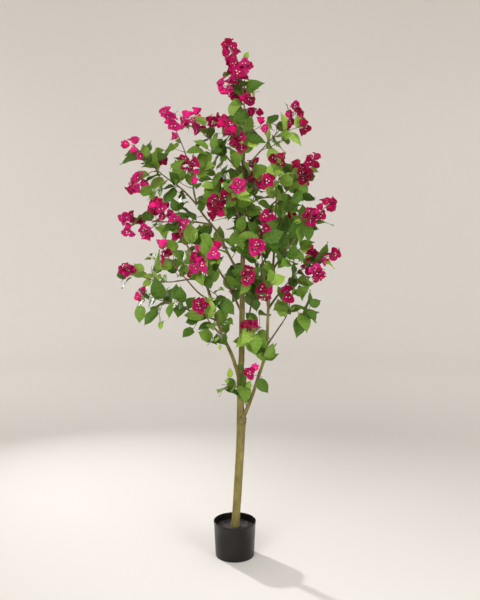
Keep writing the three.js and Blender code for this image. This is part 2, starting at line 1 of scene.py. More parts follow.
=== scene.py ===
"""An artificial bougainvillea tree in its nursery pot, dressed round its solid model.

Trunk and boughs get a mesh with the bark's relief. The masses of foliage are grown again by the
rule that made their solids, from the same seeds, and carried on to finer twigs, more leaves and
fuller blossom, each mass within its own space.
"""
import functools
import math
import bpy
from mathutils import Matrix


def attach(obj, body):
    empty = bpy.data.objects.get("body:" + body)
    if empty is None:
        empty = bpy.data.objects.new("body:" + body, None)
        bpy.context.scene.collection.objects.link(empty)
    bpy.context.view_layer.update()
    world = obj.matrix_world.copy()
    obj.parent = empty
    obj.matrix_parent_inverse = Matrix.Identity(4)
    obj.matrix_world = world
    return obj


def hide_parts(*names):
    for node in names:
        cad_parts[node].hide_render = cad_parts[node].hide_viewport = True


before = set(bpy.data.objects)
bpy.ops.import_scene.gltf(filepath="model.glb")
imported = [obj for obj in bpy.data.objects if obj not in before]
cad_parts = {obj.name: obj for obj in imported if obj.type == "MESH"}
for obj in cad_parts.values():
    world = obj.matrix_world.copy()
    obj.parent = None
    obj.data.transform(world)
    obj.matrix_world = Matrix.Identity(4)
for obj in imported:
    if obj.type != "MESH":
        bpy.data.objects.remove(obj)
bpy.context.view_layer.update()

from types import SimpleNamespace

import bmesh
import bpy
from mathutils import Matrix, Quaternion, Vector, geometry, noise

bl_info = {
    "name": "Potted Bougainvillea",
    "version": (1, 0, 0),
    "blender": (4, 5, 0),
    "location": "3D View > Sidebar > Bougainvillea",
    "description": "Builds an artificial bougainvillea tree in a nursery pot, with its studio",
    "category": "Add Mesh",
}

# ---------- sizes shared with the solids ----------

MM = 0.001
UP = Vector((0, 0, 1))
GOLDEN_ANGLE = math.pi * (3 - math.sqrt(5))
GAP = 0.3 * MM

POT_HEIGHT = 131 * MM
POT_BASE_RADIUS = 70 * MM
POT_RIM_RADIUS = 76.5 * MM
POT_FLOOR = 3 * MM
FILL_TOP = 108 * MM

# Trunk: height, lean to the right, radius, in millimetres
TRUNK = [
    (108.3, 1, 19.5), (124, 2.5, 15.8), (190, 7, 14.6), (336, 16, 15), (450, 21.5, 15.6),
    (509, 23, 17), (560, 20, 12.4), (676, 20, 11.6), (737, 24, 10.6), (900, 26, 9.6),
    (1116, 29, 7.6), (1288, 31, 5.8), (1422, 31, 4.6), (1590, 33, 3),
]

# Boughs: name, carrier, radius at foot and tip, and the way to the tip, in millimetres
BOUGHS = [
    ("bough_right", "trunk", 7.2, 3.4,
     [(23, 0, 496), (52, -18, 573), (82, -28, 665), (110, -38, 774), (117, -42, 924),
      (134, -42, 1090), (141, -44, 1275)]),
    ("bough_right_side", "bough_right", 3.4, 2.4,
     [(111, -38, 782), (140, -32, 824), (172, -30, 872)]),
    ("bough_right_mid", "bough_right", 3.8, 2.6,
     [(117, -42, 915), (160, -14, 970), (205, 8, 1018)]),
    ("bough_right_inner", "bough_right", 5, 2.8,
     [(117, -42, 925), (106, -46, 976), (94, -68, 1085)]),
    ("bough_right_outer", "bough_right", 3.8, 2.6,
     [(129, -42, 1045), (170, -30, 1105), (212, -26, 1160)]),
    ("bough_left", "trunk", 7, 3.2,
     [(19, 0, 652), (-9, -22, 743), (-51, -50, 847), (-90, -72, 985), (-116, -80, 1057),
      (-178, -85, 1168)]),
    ("bough_left_low", "bough_left", 3.2, 2.4,
     [(-60, -55, 874), (-104, -86, 897), (-190, -94, 930)]),
    ("bough_left_side", "bough_left", 3.4, 2.4,
     [(-93, -73, 995), (-136, -48, 1016), (-215, -12, 1003)]),
    ("bough_left_front", "bough_left", 3.2, 2.4,
     [(-80, -67, 945), (-120, -100, 976), (-168, -122, 1034)]),
    ("bough_front_left", "bough_left", 3, 2.4,
     [(-84, -69, 965), (-92, -105, 1005), (-95, -140, 1042)]),
    ("bough_low_left", "bough_left", 3, 2.4, [(-38, -41, 812), (-56, -78, 838), (-72, -108, 862)]),
    ("bough_left_upper", "trunk", 4.6, 3,
     [(27, 0, 1010), (-18, 32, 1088), (-60, 46, 1170), (-128, 44, 1262), (-150, 24, 1375)]),
    ("bough_left_outer", "bough_left_upper", 3.4, 2.6,
     [(-126, 44, 1260), (-176, 22, 1316), (-232, -4, 1360)]),
    ("bough_left_mid", "bough_left_upper", 3.4, 2.6,
     [(-80, 46, 1197), (-140, 72, 1205), (-205, 84, 1204)]),
    ("bough_front", "trunk", 3.8, 2.6, [(26, 0, 905), (30, -42, 950), (38, -92, 1000)]),
    ("bough_front_high", "trunk", 3.6, 2.6, [(30, 0, 1150), (22, -50, 1205), (4, -98, 1262)]),
    ("bough_right_high", "trunk", 4.4, 2.8, [(30, 0, 1170), (92, 30, 1232), (168, 52, 1300)]),
    ("bough_back_low", "trunk", 4, 2.6, [(24, 0, 760), (42, 44, 830), (62, 96, 922)]),
    ("bough_back_left", "trunk", 4.4, 2.8, [(26, 0, 890), (-20, 56, 975), (-96, 128, 1092)]),
    ("bough_back_right", "trunk", 4.4, 2.8, [(27, 0, 950), (82, 66, 1030), (152, 134, 1138)]),
    ("bough_back", "trunk", 4, 2.8, [(29, 0, 1090), (28, 66, 1170), (12, 132, 1262)]),
    ("bough_high_front", "trunk", 3, 2.4, [(31, 0, 1345), (28, -24, 1388), (24, -48, 1424)]),
    ("bough_high_left", "trunk", 3, 2.4, [(31, 0, 1352), (-4, 14, 1404), (-44, 34, 1448)]),
    ("bough_high_right", "trunk", 3, 2.4, [(31, 0, 1376), (62, 6, 1420), (98, 10, 1460)]),
    ("bough_high_back", "trunk", 3, 2.4, [(31, 0, 1390), (34, 30, 1440), (32, 62, 1480)]),
]
BOUGH_STEP = 70 * MM

# Foliage: name, the limb whose tip carries it, or a height and bearing on the trunk, how thick
# its leaf is, and the places that its blossom twigs reach, the stem's own first, each with the
# length of its spray down from there, in millimetres
FOLIAGE = [
    ("top", "trunk", "light",
     [(-16, -16, 1790, 115), (40, -10, 1730, 40), (-12, 16, 1738, 30), (6, -34, 1698, 40),
      (-32, -18, 1662, 30), (48, -22, 1628, 20), (14, 44, 1650, 30)]),
    ("high_front", "bough_high_front", "light",
     [(10, -112, 1500, 100), (-24, -92, 1532, 30), (88, -84, 1530, 10)]),
    ("high_left", "bough_high_left", "thick", [(-166, 84, 1562, 75), (-78, 12, 1546, 10)]),
    ("high_right", "bough_high_right", "light",
     [(212, 30, 1582, 60), (232, -14, 1532, 20), (108, 40, 1548, 0)]),
    ("high_back", "bough_high_back", "thick", [(36, 158, 1572, 60), (-40, 118, 1560, 30)]),
    ("right_upper", "bough_right", "thick", [(168, -72, 1446, 55), (98, -150, 1346, 40)]),
    ("right_high", "bough_right_high", "thick",
     [(270, 64, 1412, 40), (236, 122, 1350, 60), (240, -10, 1366, 50)]),
    ("right_outer", "bough_right_outer", "thick", [(318, -44, 1270, 80), (252, -112, 1232, 30)]),
    ("right_mid", "bough_right_mid", "light",
     [(348, 34, 1094, 50), (282, -78, 1040, 80), (274, 90, 1092, 50)]),
    ("right_low", "bough_right_side", "thick", [(182, -84, 970, 10), (238, -64, 892, 0)]),
    ("front_right", "bough_right_inner", "thick", [(112, -150, 1236, 75), (72, -206, 1140, 55)]),
    ("front", "bough_front", "thick", [(42, -234, 1050, 70), (104, -176, 984, 30)]),
    ("front_high", "bough_front_high", "thick", [(14, -196, 1340, 40), (-62, -206, 1280, 60)]),
    ("front_left", "bough_front_left", "thick", [(-120, -214, 1086, 40), (-62, -222, 1130, 30)]),
    ("left_shoulder", "bough_left", "thick", [(-254, -112, 1264, 60), (-176, -178, 1222, 45)]),
    ("left_front", "bough_left_front", "light", [(-258, -134, 1160, 35), (-226, -160, 1104, 10)]),
    ("left_side", "bough_left_side", "light", [(-376, -6, 1044, 35), (-296, 66, 1040, 0)]),
    ("left_low", "bough_left_low", "light", [(-312, -88, 968, 20), (-250, -146, 924, 0)]),
    ("low_left", "bough_low_left", "light", [(-112, -160, 944, 20), (-62, -176, 868, 0)]),
    ("left_high", "bough_left_upper", "light", [(-222, -46, 1566, 80), (-148, -104, 1400, 45)]),
    ("left_outer", "bough_left_outer", "light",
     [(-342, -46, 1470, 50), (-340, -24, 1336, 50), (-262, 76, 1416, 10)]),
    ("left_mid", "bough_left_mid", "light",
     [(-376, 48, 1222, 45), (-306, 20, 1172, 20), (-282, 144, 1262, 50)]),
    ("low_front", (590, 262), "light", [(58, -76, 700, 20), (-46, -70, 652, 0)]),
    ("low_right", (775, 318), "light", [(52, -124, 870, 30), (96, 14, 840, 0)]),
    ("back_low", "bough_back_low", "thick", [(122, 196, 1020, 50), (8, 176, 950, 20)]),
    ("back_left", "bough_back_left", "thick", [(-206, 214, 1150, 60), (-150, 176, 1016, 20)]),
    ("back_right", "bough_back_right", "thick", [(216, 228, 1216, 60), (150, 262, 1150, 60)]),
    ("back", "bough_back", "thick", [(-30, 262, 1334, 60), (74, 196, 1402, 60)]),
    ("inner_left", (1240, 176), "thick", [(-52, 10, 1328, 10)]),
    ("inner_right", (1232, 340), "thick", [(70, -2, 1352, 10)]),
    ("inner_back", (1110, 66), "thick", [(72, 100, 1228, 10)]),
]

STEM_RADIUS = 2.2 * MM
TWIG_STEP = 62 * MM
TWIG_BEND = 0.45
FOOT_SHARE = 0.35
ROOM_BETWEEN_MASSES = 1.5 * MM
REACH_PAST_TIPS = 52 * MM
LIMB_CLEARANCE = 2 * MM
SUNK_ROOT = 0.35
FORKS = (0.1, 0.7)
TWIG_OUTWARD = 0.8
TWIG_ONWARD = 0.6
LEAF_WIDTH = 0.68
LEAF_WIDEST = 0.42
LEAF_THICKNESS = 2.6 * MM
LAST_LEAF = 0.94
LEAF_OUTWARD = 0.85
LAST_LEAF_OUTWARD = 0.25
LEAF_ONWARD = 0.6
LEAF_DOWNWARD = 0.5
LEAF_SWAY = 0.5
LEAF_FACE_UP = 0.6
LEAF_FACE_OUTWARD = 1.2
LEAF_ROLL = 0.6
FLORETS_PER_TIP = 2
FLORET_RADIUS = (19 * MM, 24 * MM)
FLORET_STALK = (13 * MM, 20 * MM)
FLORET_ONWARD = (0.5, 1.1)
FLORET_SPACING = 9 * MM
FLORET_SINK = 2 * MM
FIRST_SEED = 11
SEARCH_STEP = 0.0005              # of a way's length

# Leaves by kind: length, room that each keeps, step along the twig. The solids have the full ones
LEAF_KINDS = {"full": ((62 * MM, 90 * MM), 35 * MM, 20 * MM),
              "fill": ((56 * MM, 86 * MM), 16 * MM, 8 * MM),
              "small": ((26 * MM, 52 * MM), 19 * MM, 14 * MM)}
LONGEST_LEAF = LEAF_KINDS["full"][0][1]
# Twigs on other twigs: step, part of a step that the last may lack, set back, length, radius.
# The solids have the side twigs
OFFSHOOTS = {"side": (66 * MM, 0.25, 0.4, (46 * MM, 78 * MM), 1.5 * MM),
             "fine": (60 * MM, 0, 0.5, (24 * MM, 42 * MM), 0.8 * MM)}

# ---------- sizes of what is finer than the solids ----------

TWIG_RADII = {"stem": (2.1 * MM, 1.1 * MM), "branch": (1.6 * MM, 0.9 * MM),
              "side": (1.2 * MM, 0.7 * MM), "shoot": (1.3 * MM, 0.8 * MM),
              "fine": (0.8 * MM, 0.5 * MM)}
TWIG_RING = 13 * MM
STEM_SINK = 5 * MM
FINE_SEED = 211
FILL_LEAF_FLATTER = 0.6
FILL_LEAF_LIFT = 0.2
PETIOLE = 7 * MM
SPRAY_STEP = 15 * MM
SPRAY_MOST = 0.85                 # of its twig's length
SPRAY_STALK = (9 * MM, 16 * MM)
SPRAY_RADIUS = (18 * MM, 24 * MM)
SPRAY_TIP_OUTWARD = 0.25
SPRAY_OUTWARD = (0.6, 1.1)
SPRAY_ONWARD = (0.35, 0.9)
SPRAY_WIDER = 4 * MM
SIDE_SPRAY = 0.5                  # of a side twig's length, where it stands in a spray
FLORET_ROOM = 14 * MM
FLORET_BASE = 0.45                # a floret's foot, below its face, of its radius
SHOOT_SEED = 977
SHOOTS_ABOVE = 0.97
LOW_SHOOTS_ABOVE = 0.78
LOW_SHOOT_LIMBS = ("bough_left", "bough_left_low")
SHOOT_STEP = 44 * MM
SHOOT_LENGTH = (34 * MM, 62 * MM)
TRUNK_SHOOT_LENGTH = (44 * MM, 104 * MM)
SHOOT_FOOT = 0.6                  # of the limb's radius
SHOOT_SET_OFF = 0.3
SHOOT_OUTWARD = 0.8
SHOOT_ONWARD = 0.5

# Shoots that stand where the leaf is thick: limb, share of its way, tip in millimetres
THICK_SHOOTS = [
    ("trunk", 0.82, (-72, -52, 1335)), ("trunk", 0.855, (-48, -24, 1396)),
    ("trunk", 0.84, (-66, 30, 1372)), ("bough_left_upper", 0.8, (-78, -26, 1322)),
    ("bough_left_upper", 0.9, (-98, -34, 1398)), ("trunk", 0.72, (-50, -72, 1030)),
    ("bough_left", 0.6, (-46, -114, 962)), ("bough_left", 0.28, (-82, -70, 772)),
    ("bough_left_low", 0.55, (-142, -112, 850)), ("bough_high_left", 0.75, (-92, -70, 1455)),
    ("bough_front_high", 0.8, (-76, -90, 1216)), ("bough_left_mid", 0.05, (-86, -32, 1222)),
    ("bough_right", 0.43, (112, -96, 750)), ("bough_low_left", 0.5, (-92, -116, 798)),
    ("bough_left", 0.42, (-20, -84, 888)), ("bough_left_low", 0.75, (-202, -124, 955)),
    ("bough_right_outer", 0.35, (190, -110, 1082)), ("bough_right_mid", 0.8, (238, -44, 1000)),
    ("bough_right", 0.9, (196, -96, 1296)), ("bough_right_high", 0.85, (236, -10, 1290)),
    ("bough_left_outer", 0.95, (-296, -30, 1284)), ("bough_high_right", 0.9, (176, 0, 1487)),
]


def vec(point):
    return Vector(point) * MM


def between(low, high, share):
    return low + (high - low) * share


def nearest_whole(value):
    return math.floor(value + 0.5)


def seeded(seed):
    """The same numbers in the same order for the same seed."""
    state = (seed * 2654435761) & 0xFFFFFFFF

    def draw():
        nonlocal state
        state = (state * 1664525 + 1013904223) & 0xFFFFFFFF
        return state / 4294967296
    return draw


# ---------- ways: the curves that limbs and twigs follow ----------

class SmoothWay:
    """A smooth curve through its places, even between any two of them."""

    def __init__(self, places):
        self.places = places

    def point(self, share):
        last = len(self.places) - 1
        station = last * share
        lower = min(int(station), last - 1)
        start, end = self.places[lower], self.places[lower + 1]
        before = self.places[lower - 1] if lower else 2 * start - end
        after = self.places[lower + 2] if lower + 2 <= last else 2 * end - start
        leaving, coming = (end - before) / 2, (after - start) / 2
        t = station - lower
        return (start + leaving * t + (3 * (end - start) - 2 * leaving - coming) * t ** 2
                + (2 * (start - end) + leaving + coming) * t ** 3)

    def tangent(self, share):
        before, after = max(share - SEARCH_STEP, 0), min(share + SEARCH_STEP, 1)
        return (self.point(after) - self.point(before)).normalized()


class BentWay:
    """A curve that sets off towards its bend and ends at its tip."""

    def __init__(self, start, bend, end):
        self.start, self.bend, self.end = start, bend, end

    def point(self, share):
        rest = 1 - share
        return self.start * rest ** 2 + self.bend * (2 * share * rest) + self.end * share ** 2

    def tangent(self, share):
        pull = (self.bend - self.start) * (1 - share) + (self.end - self.bend) * share
        return pull.normalized()


# ---------- limbs ----------

def station_radius(share):
    station = min(share * (len(TRUNK) - 1), len(TRUNK) - 1.000001)
    lower = int(station)
    return between(TRUNK[lower][2], TRUNK[lower + 1][2], station - lower) * MM


def make_limb(name, way, radius_at, steps, carrier=None):
    points = [way.point(step / steps) for step in range(steps + 1)]
    radii = [radius_at(step / steps) for step in range(steps + 1)]
    spans = [SimpleNamespace(low=low, high=high, radius=max(pair), last=i == steps - 1,
                             middle=(low + high) / 2, half=(high - low).length / 2)
             for i, (low, high, pair) in enumerate(zip(points, points[1:], zip(radii, radii[1:])))]
    length = sum(2 * span.half for span in spans)
    return SimpleNamespace(name=name, way=way, radius_at=radius_at, spans=spans, length=length,
                           carrier=carrier)


def make_limbs():
    trunk_way = SmoothWay([vec((x, 0, z)) for z, x, _ in TRUNK])
    limbs = {"trunk": make_limb("trunk", trunk_way, station_radius, len(TRUNK) - 1)}
    for name, carrier, foot, tip, places in BOUGHS:
        way = SmoothWay([vec(place) for place in places])
        length = sum((b - a).length for a, b in zip(way.places, way.places[1:]))
        radius_at = functools.partial(between, foot * MM, tip * MM)
        steps = max(3, nearest_whole(length / BOUGH_STEP))
        limbs[name] = make_limb(name, way, radius_at, steps, carrier)
    return limbs


# ---------- foliage: the rule that made the solids ----------

def foot_of(place, limbs):
    """Where a mass's stem starts, and which way it sets off."""
    if isinstance(place, str):
        way = limbs[place].way
        set_off = way.tangent(1)
        return way.point(1) + set_off * GAP, set_off
    height, bearing = place
    trunk = limbs["trunk"]
    share = 0
    while trunk.way.point(share).z < height * MM:
        share += SEARCH_STEP
    angle = math.radians(bearing)
    out = Vector((math.cos(angle), math.sin(angle), 0))
    offset = trunk.radius_at(share) + GAP + STEM_RADIUS * math.sqrt(0.5)
    return trunk.way.point(share) + out * offset, (out + UP).normalized()


def space_of(foot, tips):
    """The space of a mass: nearer its own middle than any other's, and within its reach."""
    middle = foot * FOOT_SHARE
    for tip in tips:
        middle = middle + tip * ((1 - FOOT_SHARE) / len(tips))
    reach = max((place - middle).length for place in [foot, *tips])
    return SimpleNamespace(middle=middle, reach=reach + REACH_PAST_TIPS)


def in_space(point, mass, room):
    own = mass.space
    if (point - own.middle).length > own.reach - room:
        return False
    near = (point - own.middle).length_squared
    for other in mass.spaces:
        if other is own:
            continue
        apart = (own.middle - other.middle).length
        lead = (point - other.middle).length_squared - near
        if lead / (2 * apart) <= room + ROOM_BETWEEN_MASSES:
            return False
    return True


def any_side_of(along, turn):
    side = along.cross(UP)
    side = side.normalized() if side.length > 1e-3 else Vector((1, 0, 0))
    side.rotate(Quaternion(along, turn))
    return side


def line_distance(a, b, c, d):
    """Least distance between two straight lines from a to b and from c to d."""
    u, v, w = b - a, d - c, a - c
    uu, uv, vv = u.dot(u), u.dot(v), v.dot(v)
    det = uu * vv - uv * uv
    s = 0
    if det > 1e-15:
        s = min(1, max(0, (uv * v.dot(w) - vv * u.dot(w)) / det))
    t = min(1, max(0, (uv * s + v.dot(w)) / vv))
    s = min(1, max(0, (uv * t - u.dot(w)) / uu))
    return ((a + u * s) - (c + v * t)).length


def near_limb(a, b, radius, limbs, skip=None):
    middle, half = (a + b) / 2, (b - a).length / 2
    for limb in limbs.values():
        for span in limb.spans:
            if limb.name == skip and span.last:
                continue
            room = span.radius + radius + LIMB_CLEARANCE
            if (span.middle - middle).length > span.half + half + room:
                continue
            if line_distance(a, b, span.low, span.high) < room:
                return True
    return False


def pierces(start, end, corners):
    """Whether the line from start to end passes through the four-cornered blade."""
    way = end - start
    root, left, tip, right = corners
    for triangle in ((root, left, tip), (root, tip, right)):
        hit = geometry.intersect_ray_tri(*triangle, way.normalized(), start, True)
        if hit and 0 <= (hit - start).dot(way) <= way.length_squared:
            return True
    return False


def edges_of(corners):
    return zip(corners, [*corners[1:], corners[0]])


def blades_cross(first, second):
    if (first[0] - second[0]).length > 3 * LONGEST_LEAF:
        return False
    return (any(pierces(a, b, second) for a, b in edges_of(first))
            or any(pierces(a, b, first) for a, b in edges_of(second)))


def has_room(corners, mass, roams=False):
    """Whether a blade is clear of limbs and in its space or, if it roams, within reach."""
    if roams:
        inside = all((corner - mass.space.middle).length < mass.space.reach for corner in corners)
    else:
        inside = all(in_space(corner, mass, LEAF_THICKNESS) for corner in corners)
    return inside and not any(near_limb(a, b, 0, mass.limbs) for a, b in edges_of(corners))


def blade_fits(corners, own, mass):
    """A blade fits where it has room and no limb, twig or other blade passes through it."""
    if not has_room(corners, mass, roams=own.kind == "shoot"):
        return False
    heart = (corners[0] + corners[2]) / 2
    for limb in mass.limbs.values():
        for span in limb.spans:
            near = (span.middle - heart).length < span.half + LONGEST_LEAF
            if near and pierces(span.low, span.high, corners):
                return False
    for twig in mass.twigs:
        lines = zip(twig.line, twig.line[1:])
        if twig is not own and any(pierces(a, b, corners) for a, b in lines):
            return False
    return not any(blades_cross(corners, other) for other in mass.blades)


def leaf_corners(leaf):
    across = leaf.normal.cross(leaf.along)
    belly = leaf.root + leaf.along * (leaf.length * LEAF_WIDEST)
    half = across * (leaf.length * LEAF_WIDTH / 2)
    return [leaf.root, belly + half, leaf.root + leaf.along * leaf.length, belly - half]


def floret_face(floret):
    return floret.root + floret.along * floret.stalk


def floret_corners(floret):
    face = floret_face(floret)
    side = any_side_of(floret.along, floret.turn)
    across = floret.along.cross(side)
    return [face + (side * math.cos(turn) + across * math.sin(turn)) * floret.radius
            for turn in (0, math.pi / 2, math.pi, 3 * math.pi / 2)]


def make_twig(start, set_off, end, kind):
    """A twig sets off one way and bends to its tip."""
    span = (end - start).length
    way = BentWay(start, start + set_off * (span * TWIG_BEND), end)
    steps = max(1, nearest_whole(span / TWIG_STEP))
    line = [way.point(step / steps) for step in range(steps + 1)]
    return SimpleNamespace(way=way, span=span, line=line, kind=kind, carrier=None, spray=0,
                           flowering=kind in ("stem", "branch"))


def place_on(twig, share):
    """A place on a twig, and the way that the twig goes there."""
    steps = len(twig.line) - 1
    lower = min(int(share * steps), steps - 1)
    low, high = twig.line[lower], twig.line[lower + 1]
    return low.lerp(high, share * steps - lower), (high - low).normalized()


def twig_fits(twig, mass, radius):
    carrier = mass.carrier
    for i, end in enumerate(twig.line[1:]):
        grown = twig.line[0].lerp(end, SUNK_ROOT) if i == 0 else twig.line[i]
        if not in_space(end, mass, radius) or near_limb(grown, end, radius, mass.limbs, carrier):
            return False
    return True


def add_offshoots(mass, twig, draw, kind):
    """Side or fine twigs stand round a twig at even steps, each turned on from the last."""
    step, lack, back, lengths, radius = OFFSHOOTS[kind]
    count = math.floor((twig.span + lack * step) / step)
    turn = draw() * math.tau
    for i in range(1, count + 1):
        root, tangent = place_on(twig, (i - back) / count)
        out = any_side_of(tangent, turn) * TWIG_OUTWARD + tangent * TWIG_ONWARD
        end = root + out.normalized() * between(*lengths, draw())
        offshoot = make_twig(root, tangent, end, kind)
        offshoot.carrier = twig
        if twig_fits(offshoot, mass, radius):
            mass.twigs.append(offshoot)
        turn += GOLDEN_ANGLE


def add_leaf(mass, twig, root, set_off, draw, kind):
    lengths, room, _ = LEAF_KINDS[kind]
    sway = Vector((draw() - 0.5, draw() - 0.5, draw() - 0.5))
    length = between(*lengths, draw())
    roll = between(-LEAF_ROLL, LEAF_ROLL, draw())
    outward = root - mass.limbs["trunk"].way.point(1)
    outward.z = 0
    outward.normalize()
    if kind != "full":
        if in_spray(twig, root):
            return
        flatter = outward * (set_off.dot(outward) * FILL_LEAF_FLATTER)
        set_off = set_off - flatter + UP * FILL_LEAF_LIFT
    along = (set_off + sway * LEAF_SWAY).normalized()
    face = UP * LEAF_FACE_UP + outward * LEAF_FACE_OUTWARD
    normal = (face - along * face.dot(along)).normalized()
    normal.rotate(Quaternion(along, roll))
    leaf = SimpleNamespace(root=root, along=along, normal=normal, length=length, twig=twig,
                           kind=kind)
    corners = leaf_corners(leaf)
    leaf.heart = (corners[0] + corners[2]) / 2
    crowded = any((other.heart - leaf.heart).length < room for other in mass.leaves)
    if not crowded and blade_fits(corners, twig, mass):
        mass.leaves.append(leaf)
        mass.blades.append(corners)


def add_leaves(mass, twig, draw, kind):
    """Leaves stand round a twig at even steps, the last at its end."""
    count = max(1, nearest_whole(twig.span / LEAF_KINDS[kind][2]))
    turn = draw() * math.tau
    for i in range(1, count + 1):
        point, tangent = place_on(twig, i / count * LAST_LEAF)
        at_end = i == count and not twig.flowering
        spread = LAST_LEAF_OUTWARD if at_end else LEAF_OUTWARD
        set_off = any_side_of(tangent, turn) * spread + tangent * LEAF_ONWARD - UP * LEAF_DOWNWARD
        add_leaf(mass, twig, point, set_off, draw, kind)
        turn += GOLDEN_ANGLE


def make_floret(twig, root, along, stalks, radii, draw):
    return SimpleNamespace(twig=twig, root=root, along=along, turn=draw() * math.pi,
                           stalk=between(*stalks, draw()), radius=between(*radii, draw()))


def add_floret(mass, floret, corners):
    mass.florets.append(floret)
    mass.blades.append(corners)


def add_blossom(mass, twig, draw):
    """Florets stand round a flowering twig's end, one below another."""
    end, tangent = place_on(twig, 1)
    start = draw() * math.tau
    for i in range(FLORETS_PER_TIP):
        side = any_side_of(tangent, start + i * math.tau / FLORETS_PER_TIP)
        along = (side + tangent * between(*FLORET_ONWARD, draw())).normalized()
        root = end - tangent * (FLORET_SINK + i * FLORET_SPACING)
        floret = make_floret(twig, root, along, FLORET_STALK, FLORET_RADIUS, draw)
        corners = floret_corners(floret)
        if blade_fits(corners, twig, mass):
            add_floret(mass, floret, corners)


def tip_places(tips):
    return [vec(tip[:3]) for tip in tips]


def grow_mass(row, index, spaces, limbs):
    name, place, leaf, tips = row
    draw = seeded(index + FIRST_SEED)
    foot, stem_way = foot_of(place, limbs)
    first, *others = tip_places(tips)
    stem = make_twig(foot, stem_way, first, "stem")
    flowering = [stem]
    for i, tip in enumerate(others):
        root, tangent = place_on(stem, between(*FORKS, (i + 0.5) / len(others)))
        set_off = tangent.lerp((tip - root).normalized(), 0.5)
        flowering.append(make_twig(root, set_off, tip, "branch"))
    for twig, tip in zip(flowering, tips):
        twig.spray = tip[3] * MM
    mass = SimpleNamespace(name=f"foliage_{name}", index=index, thick=leaf == "thick",
                           carrier=place if isinstance(place, str) else "trunk", limbs=limbs,
                           spaces=spaces, space=spaces[index], twigs=[*flowering], leaves=[],
                           florets=[], blades=[])
    for twig in flowering:
        add_offshoots(mass, twig, draw, "side")
    for twig in flowering:
        add_blossom(mass, twig, draw)
    for twig in mass.twigs:
        add_leaves(mass, twig, draw, "full")
    return mass


# ---------- foliage: carried on finer than the solids ----------

def in_spray(twig, root):
    """Whether a place on a twig is on the stretch that carries blossom alone."""
    if twig.kind == "side":
        return in_spray(twig.carrier, twig.line[0])
    return twig.spray > 0 and (root - twig.line[-1]).length < twig.spray


def widens_spray(twig):
    """Whether a side twig would carry a spray out past the tip of its own twig."""
    return (twig.kind == "side" and in_spray(twig, twig.line[0])
            and twig.line[-1].xy.length > twig.carrier.line[-1].xy.length + SPRAY_WIDER)


def clear_sprays(mass):
    """Takes the solids' leaves out of the sprays, and florets off twigs that have no spray."""
    mass.leaves = [leaf for leaf in mass.leaves if not in_spray(leaf.twig, leaf.root)]
    mass.florets = [floret for floret in mass.florets if floret.twig.spray]
    mass.blades = [leaf_corners(leaf) for leaf in mass.leaves]
    mass.blades += [floret_corners(floret) for floret in mass.florets]
    mass.twigs = [twig for twig in mass.twigs if not widens_spray(twig)]


def add_spray(mass, twig, draw):
    """Florets stand along a twig's last stretch, each turned on from the next."""
    turn = draw() * math.tau
    reach = min(twig.spray, SPRAY_MOST * twig.span)
    for i in range(math.floor(reach / SPRAY_STEP) + 1):
        root, tangent = place_on(twig, 1 - i * SPRAY_STEP / twig.span)
        side = any_side_of(tangent, turn)
        outward = SPRAY_TIP_OUTWARD if i == 0 else between(*SPRAY_OUTWARD, draw())
        along = (side * outward + tangent * between(*SPRAY_ONWARD, draw())).normalized()
        floret = make_floret(twig, root, along, SPRAY_STALK, SPRAY_RADIUS, draw)
        turn += GOLDEN_ANGLE
        face, corners = floret_face(floret), floret_corners(floret)
        crowded = any((floret_face(other) - face).length < FLORET_ROOM for other in mass.florets)
        if not crowded and has_room(corners, mass):
            add_floret(mass, floret, corners)


def nearest_mass(masses, place):
    return min(masses, key=lambda mass: (mass.space.middle - place).length)


def add_shoots(masses, limbs):
    """Short leafy shoots on the limbs inside the crown, each in the space of the nearest mass."""
    draw = seeded(SHOOT_SEED)
    for limb in limbs.values():
        lengths = TRUNK_SHOOT_LENGTH if limb.name == "trunk" else SHOOT_LENGTH
        lowest = LOW_SHOOTS_ABOVE if limb.name in LOW_SHOOT_LIMBS else SHOOTS_ABOVE
        count = math.floor(limb.length / SHOOT_STEP)
        turn = draw() * math.tau
        for i in range(1, count):
            share = i / count
            turn += GOLDEN_ANGLE
            length = between(*lengths, draw())
            tangent = limb.way.tangent(share)
            side = any_side_of(tangent, turn)
            foot = limb.way.point(share) + side * (SHOOT_FOOT * limb.radius_at(share))
            set_off = (side + tangent * SHOOT_SET_OFF).normalized()
            end = foot + (side * SHOOT_OUTWARD + tangent * SHOOT_ONWARD).normalized() * length
            mass = nearest_mass(masses, end)
            if (foot.z >= lowest and in_space(end, mass, 0)
                    and not near_limb(foot.lerp(end, 0.5), end, 0, limbs)):
                mass.twigs.append(make_twig(foot, set_off, end, "shoot"))
    for name, share, tip in THICK_SHOOTS:
        end, limb = vec(tip), limbs[name]
        side = (end - limb.way.point(share)).normalized()
        foot = limb.way.point(share) + side * (SHOOT_FOOT * limb.radius_at(share))
        nearest_mass(masses, end).twigs.append(make_twig(foot, side, end, "shoot"))


def drop_lone_leaves(mass):
    """A fine twig with one leaf alone loses it, and a fine twig or shoot with none goes too."""
    carriers = [leaf.twig for leaf in mass.leaves]
    mass.leaves = [leaf for leaf in mass.leaves if leaf.twig.kind != "fine"
                   or sum(twig is leaf.twig for twig in carriers) > 1]
    mass.twigs = [twig for twig in mass.twigs if twig.kind not in ("fine", "shoot")
                  or any(leaf.twig is twig for leaf in mass.leaves)]


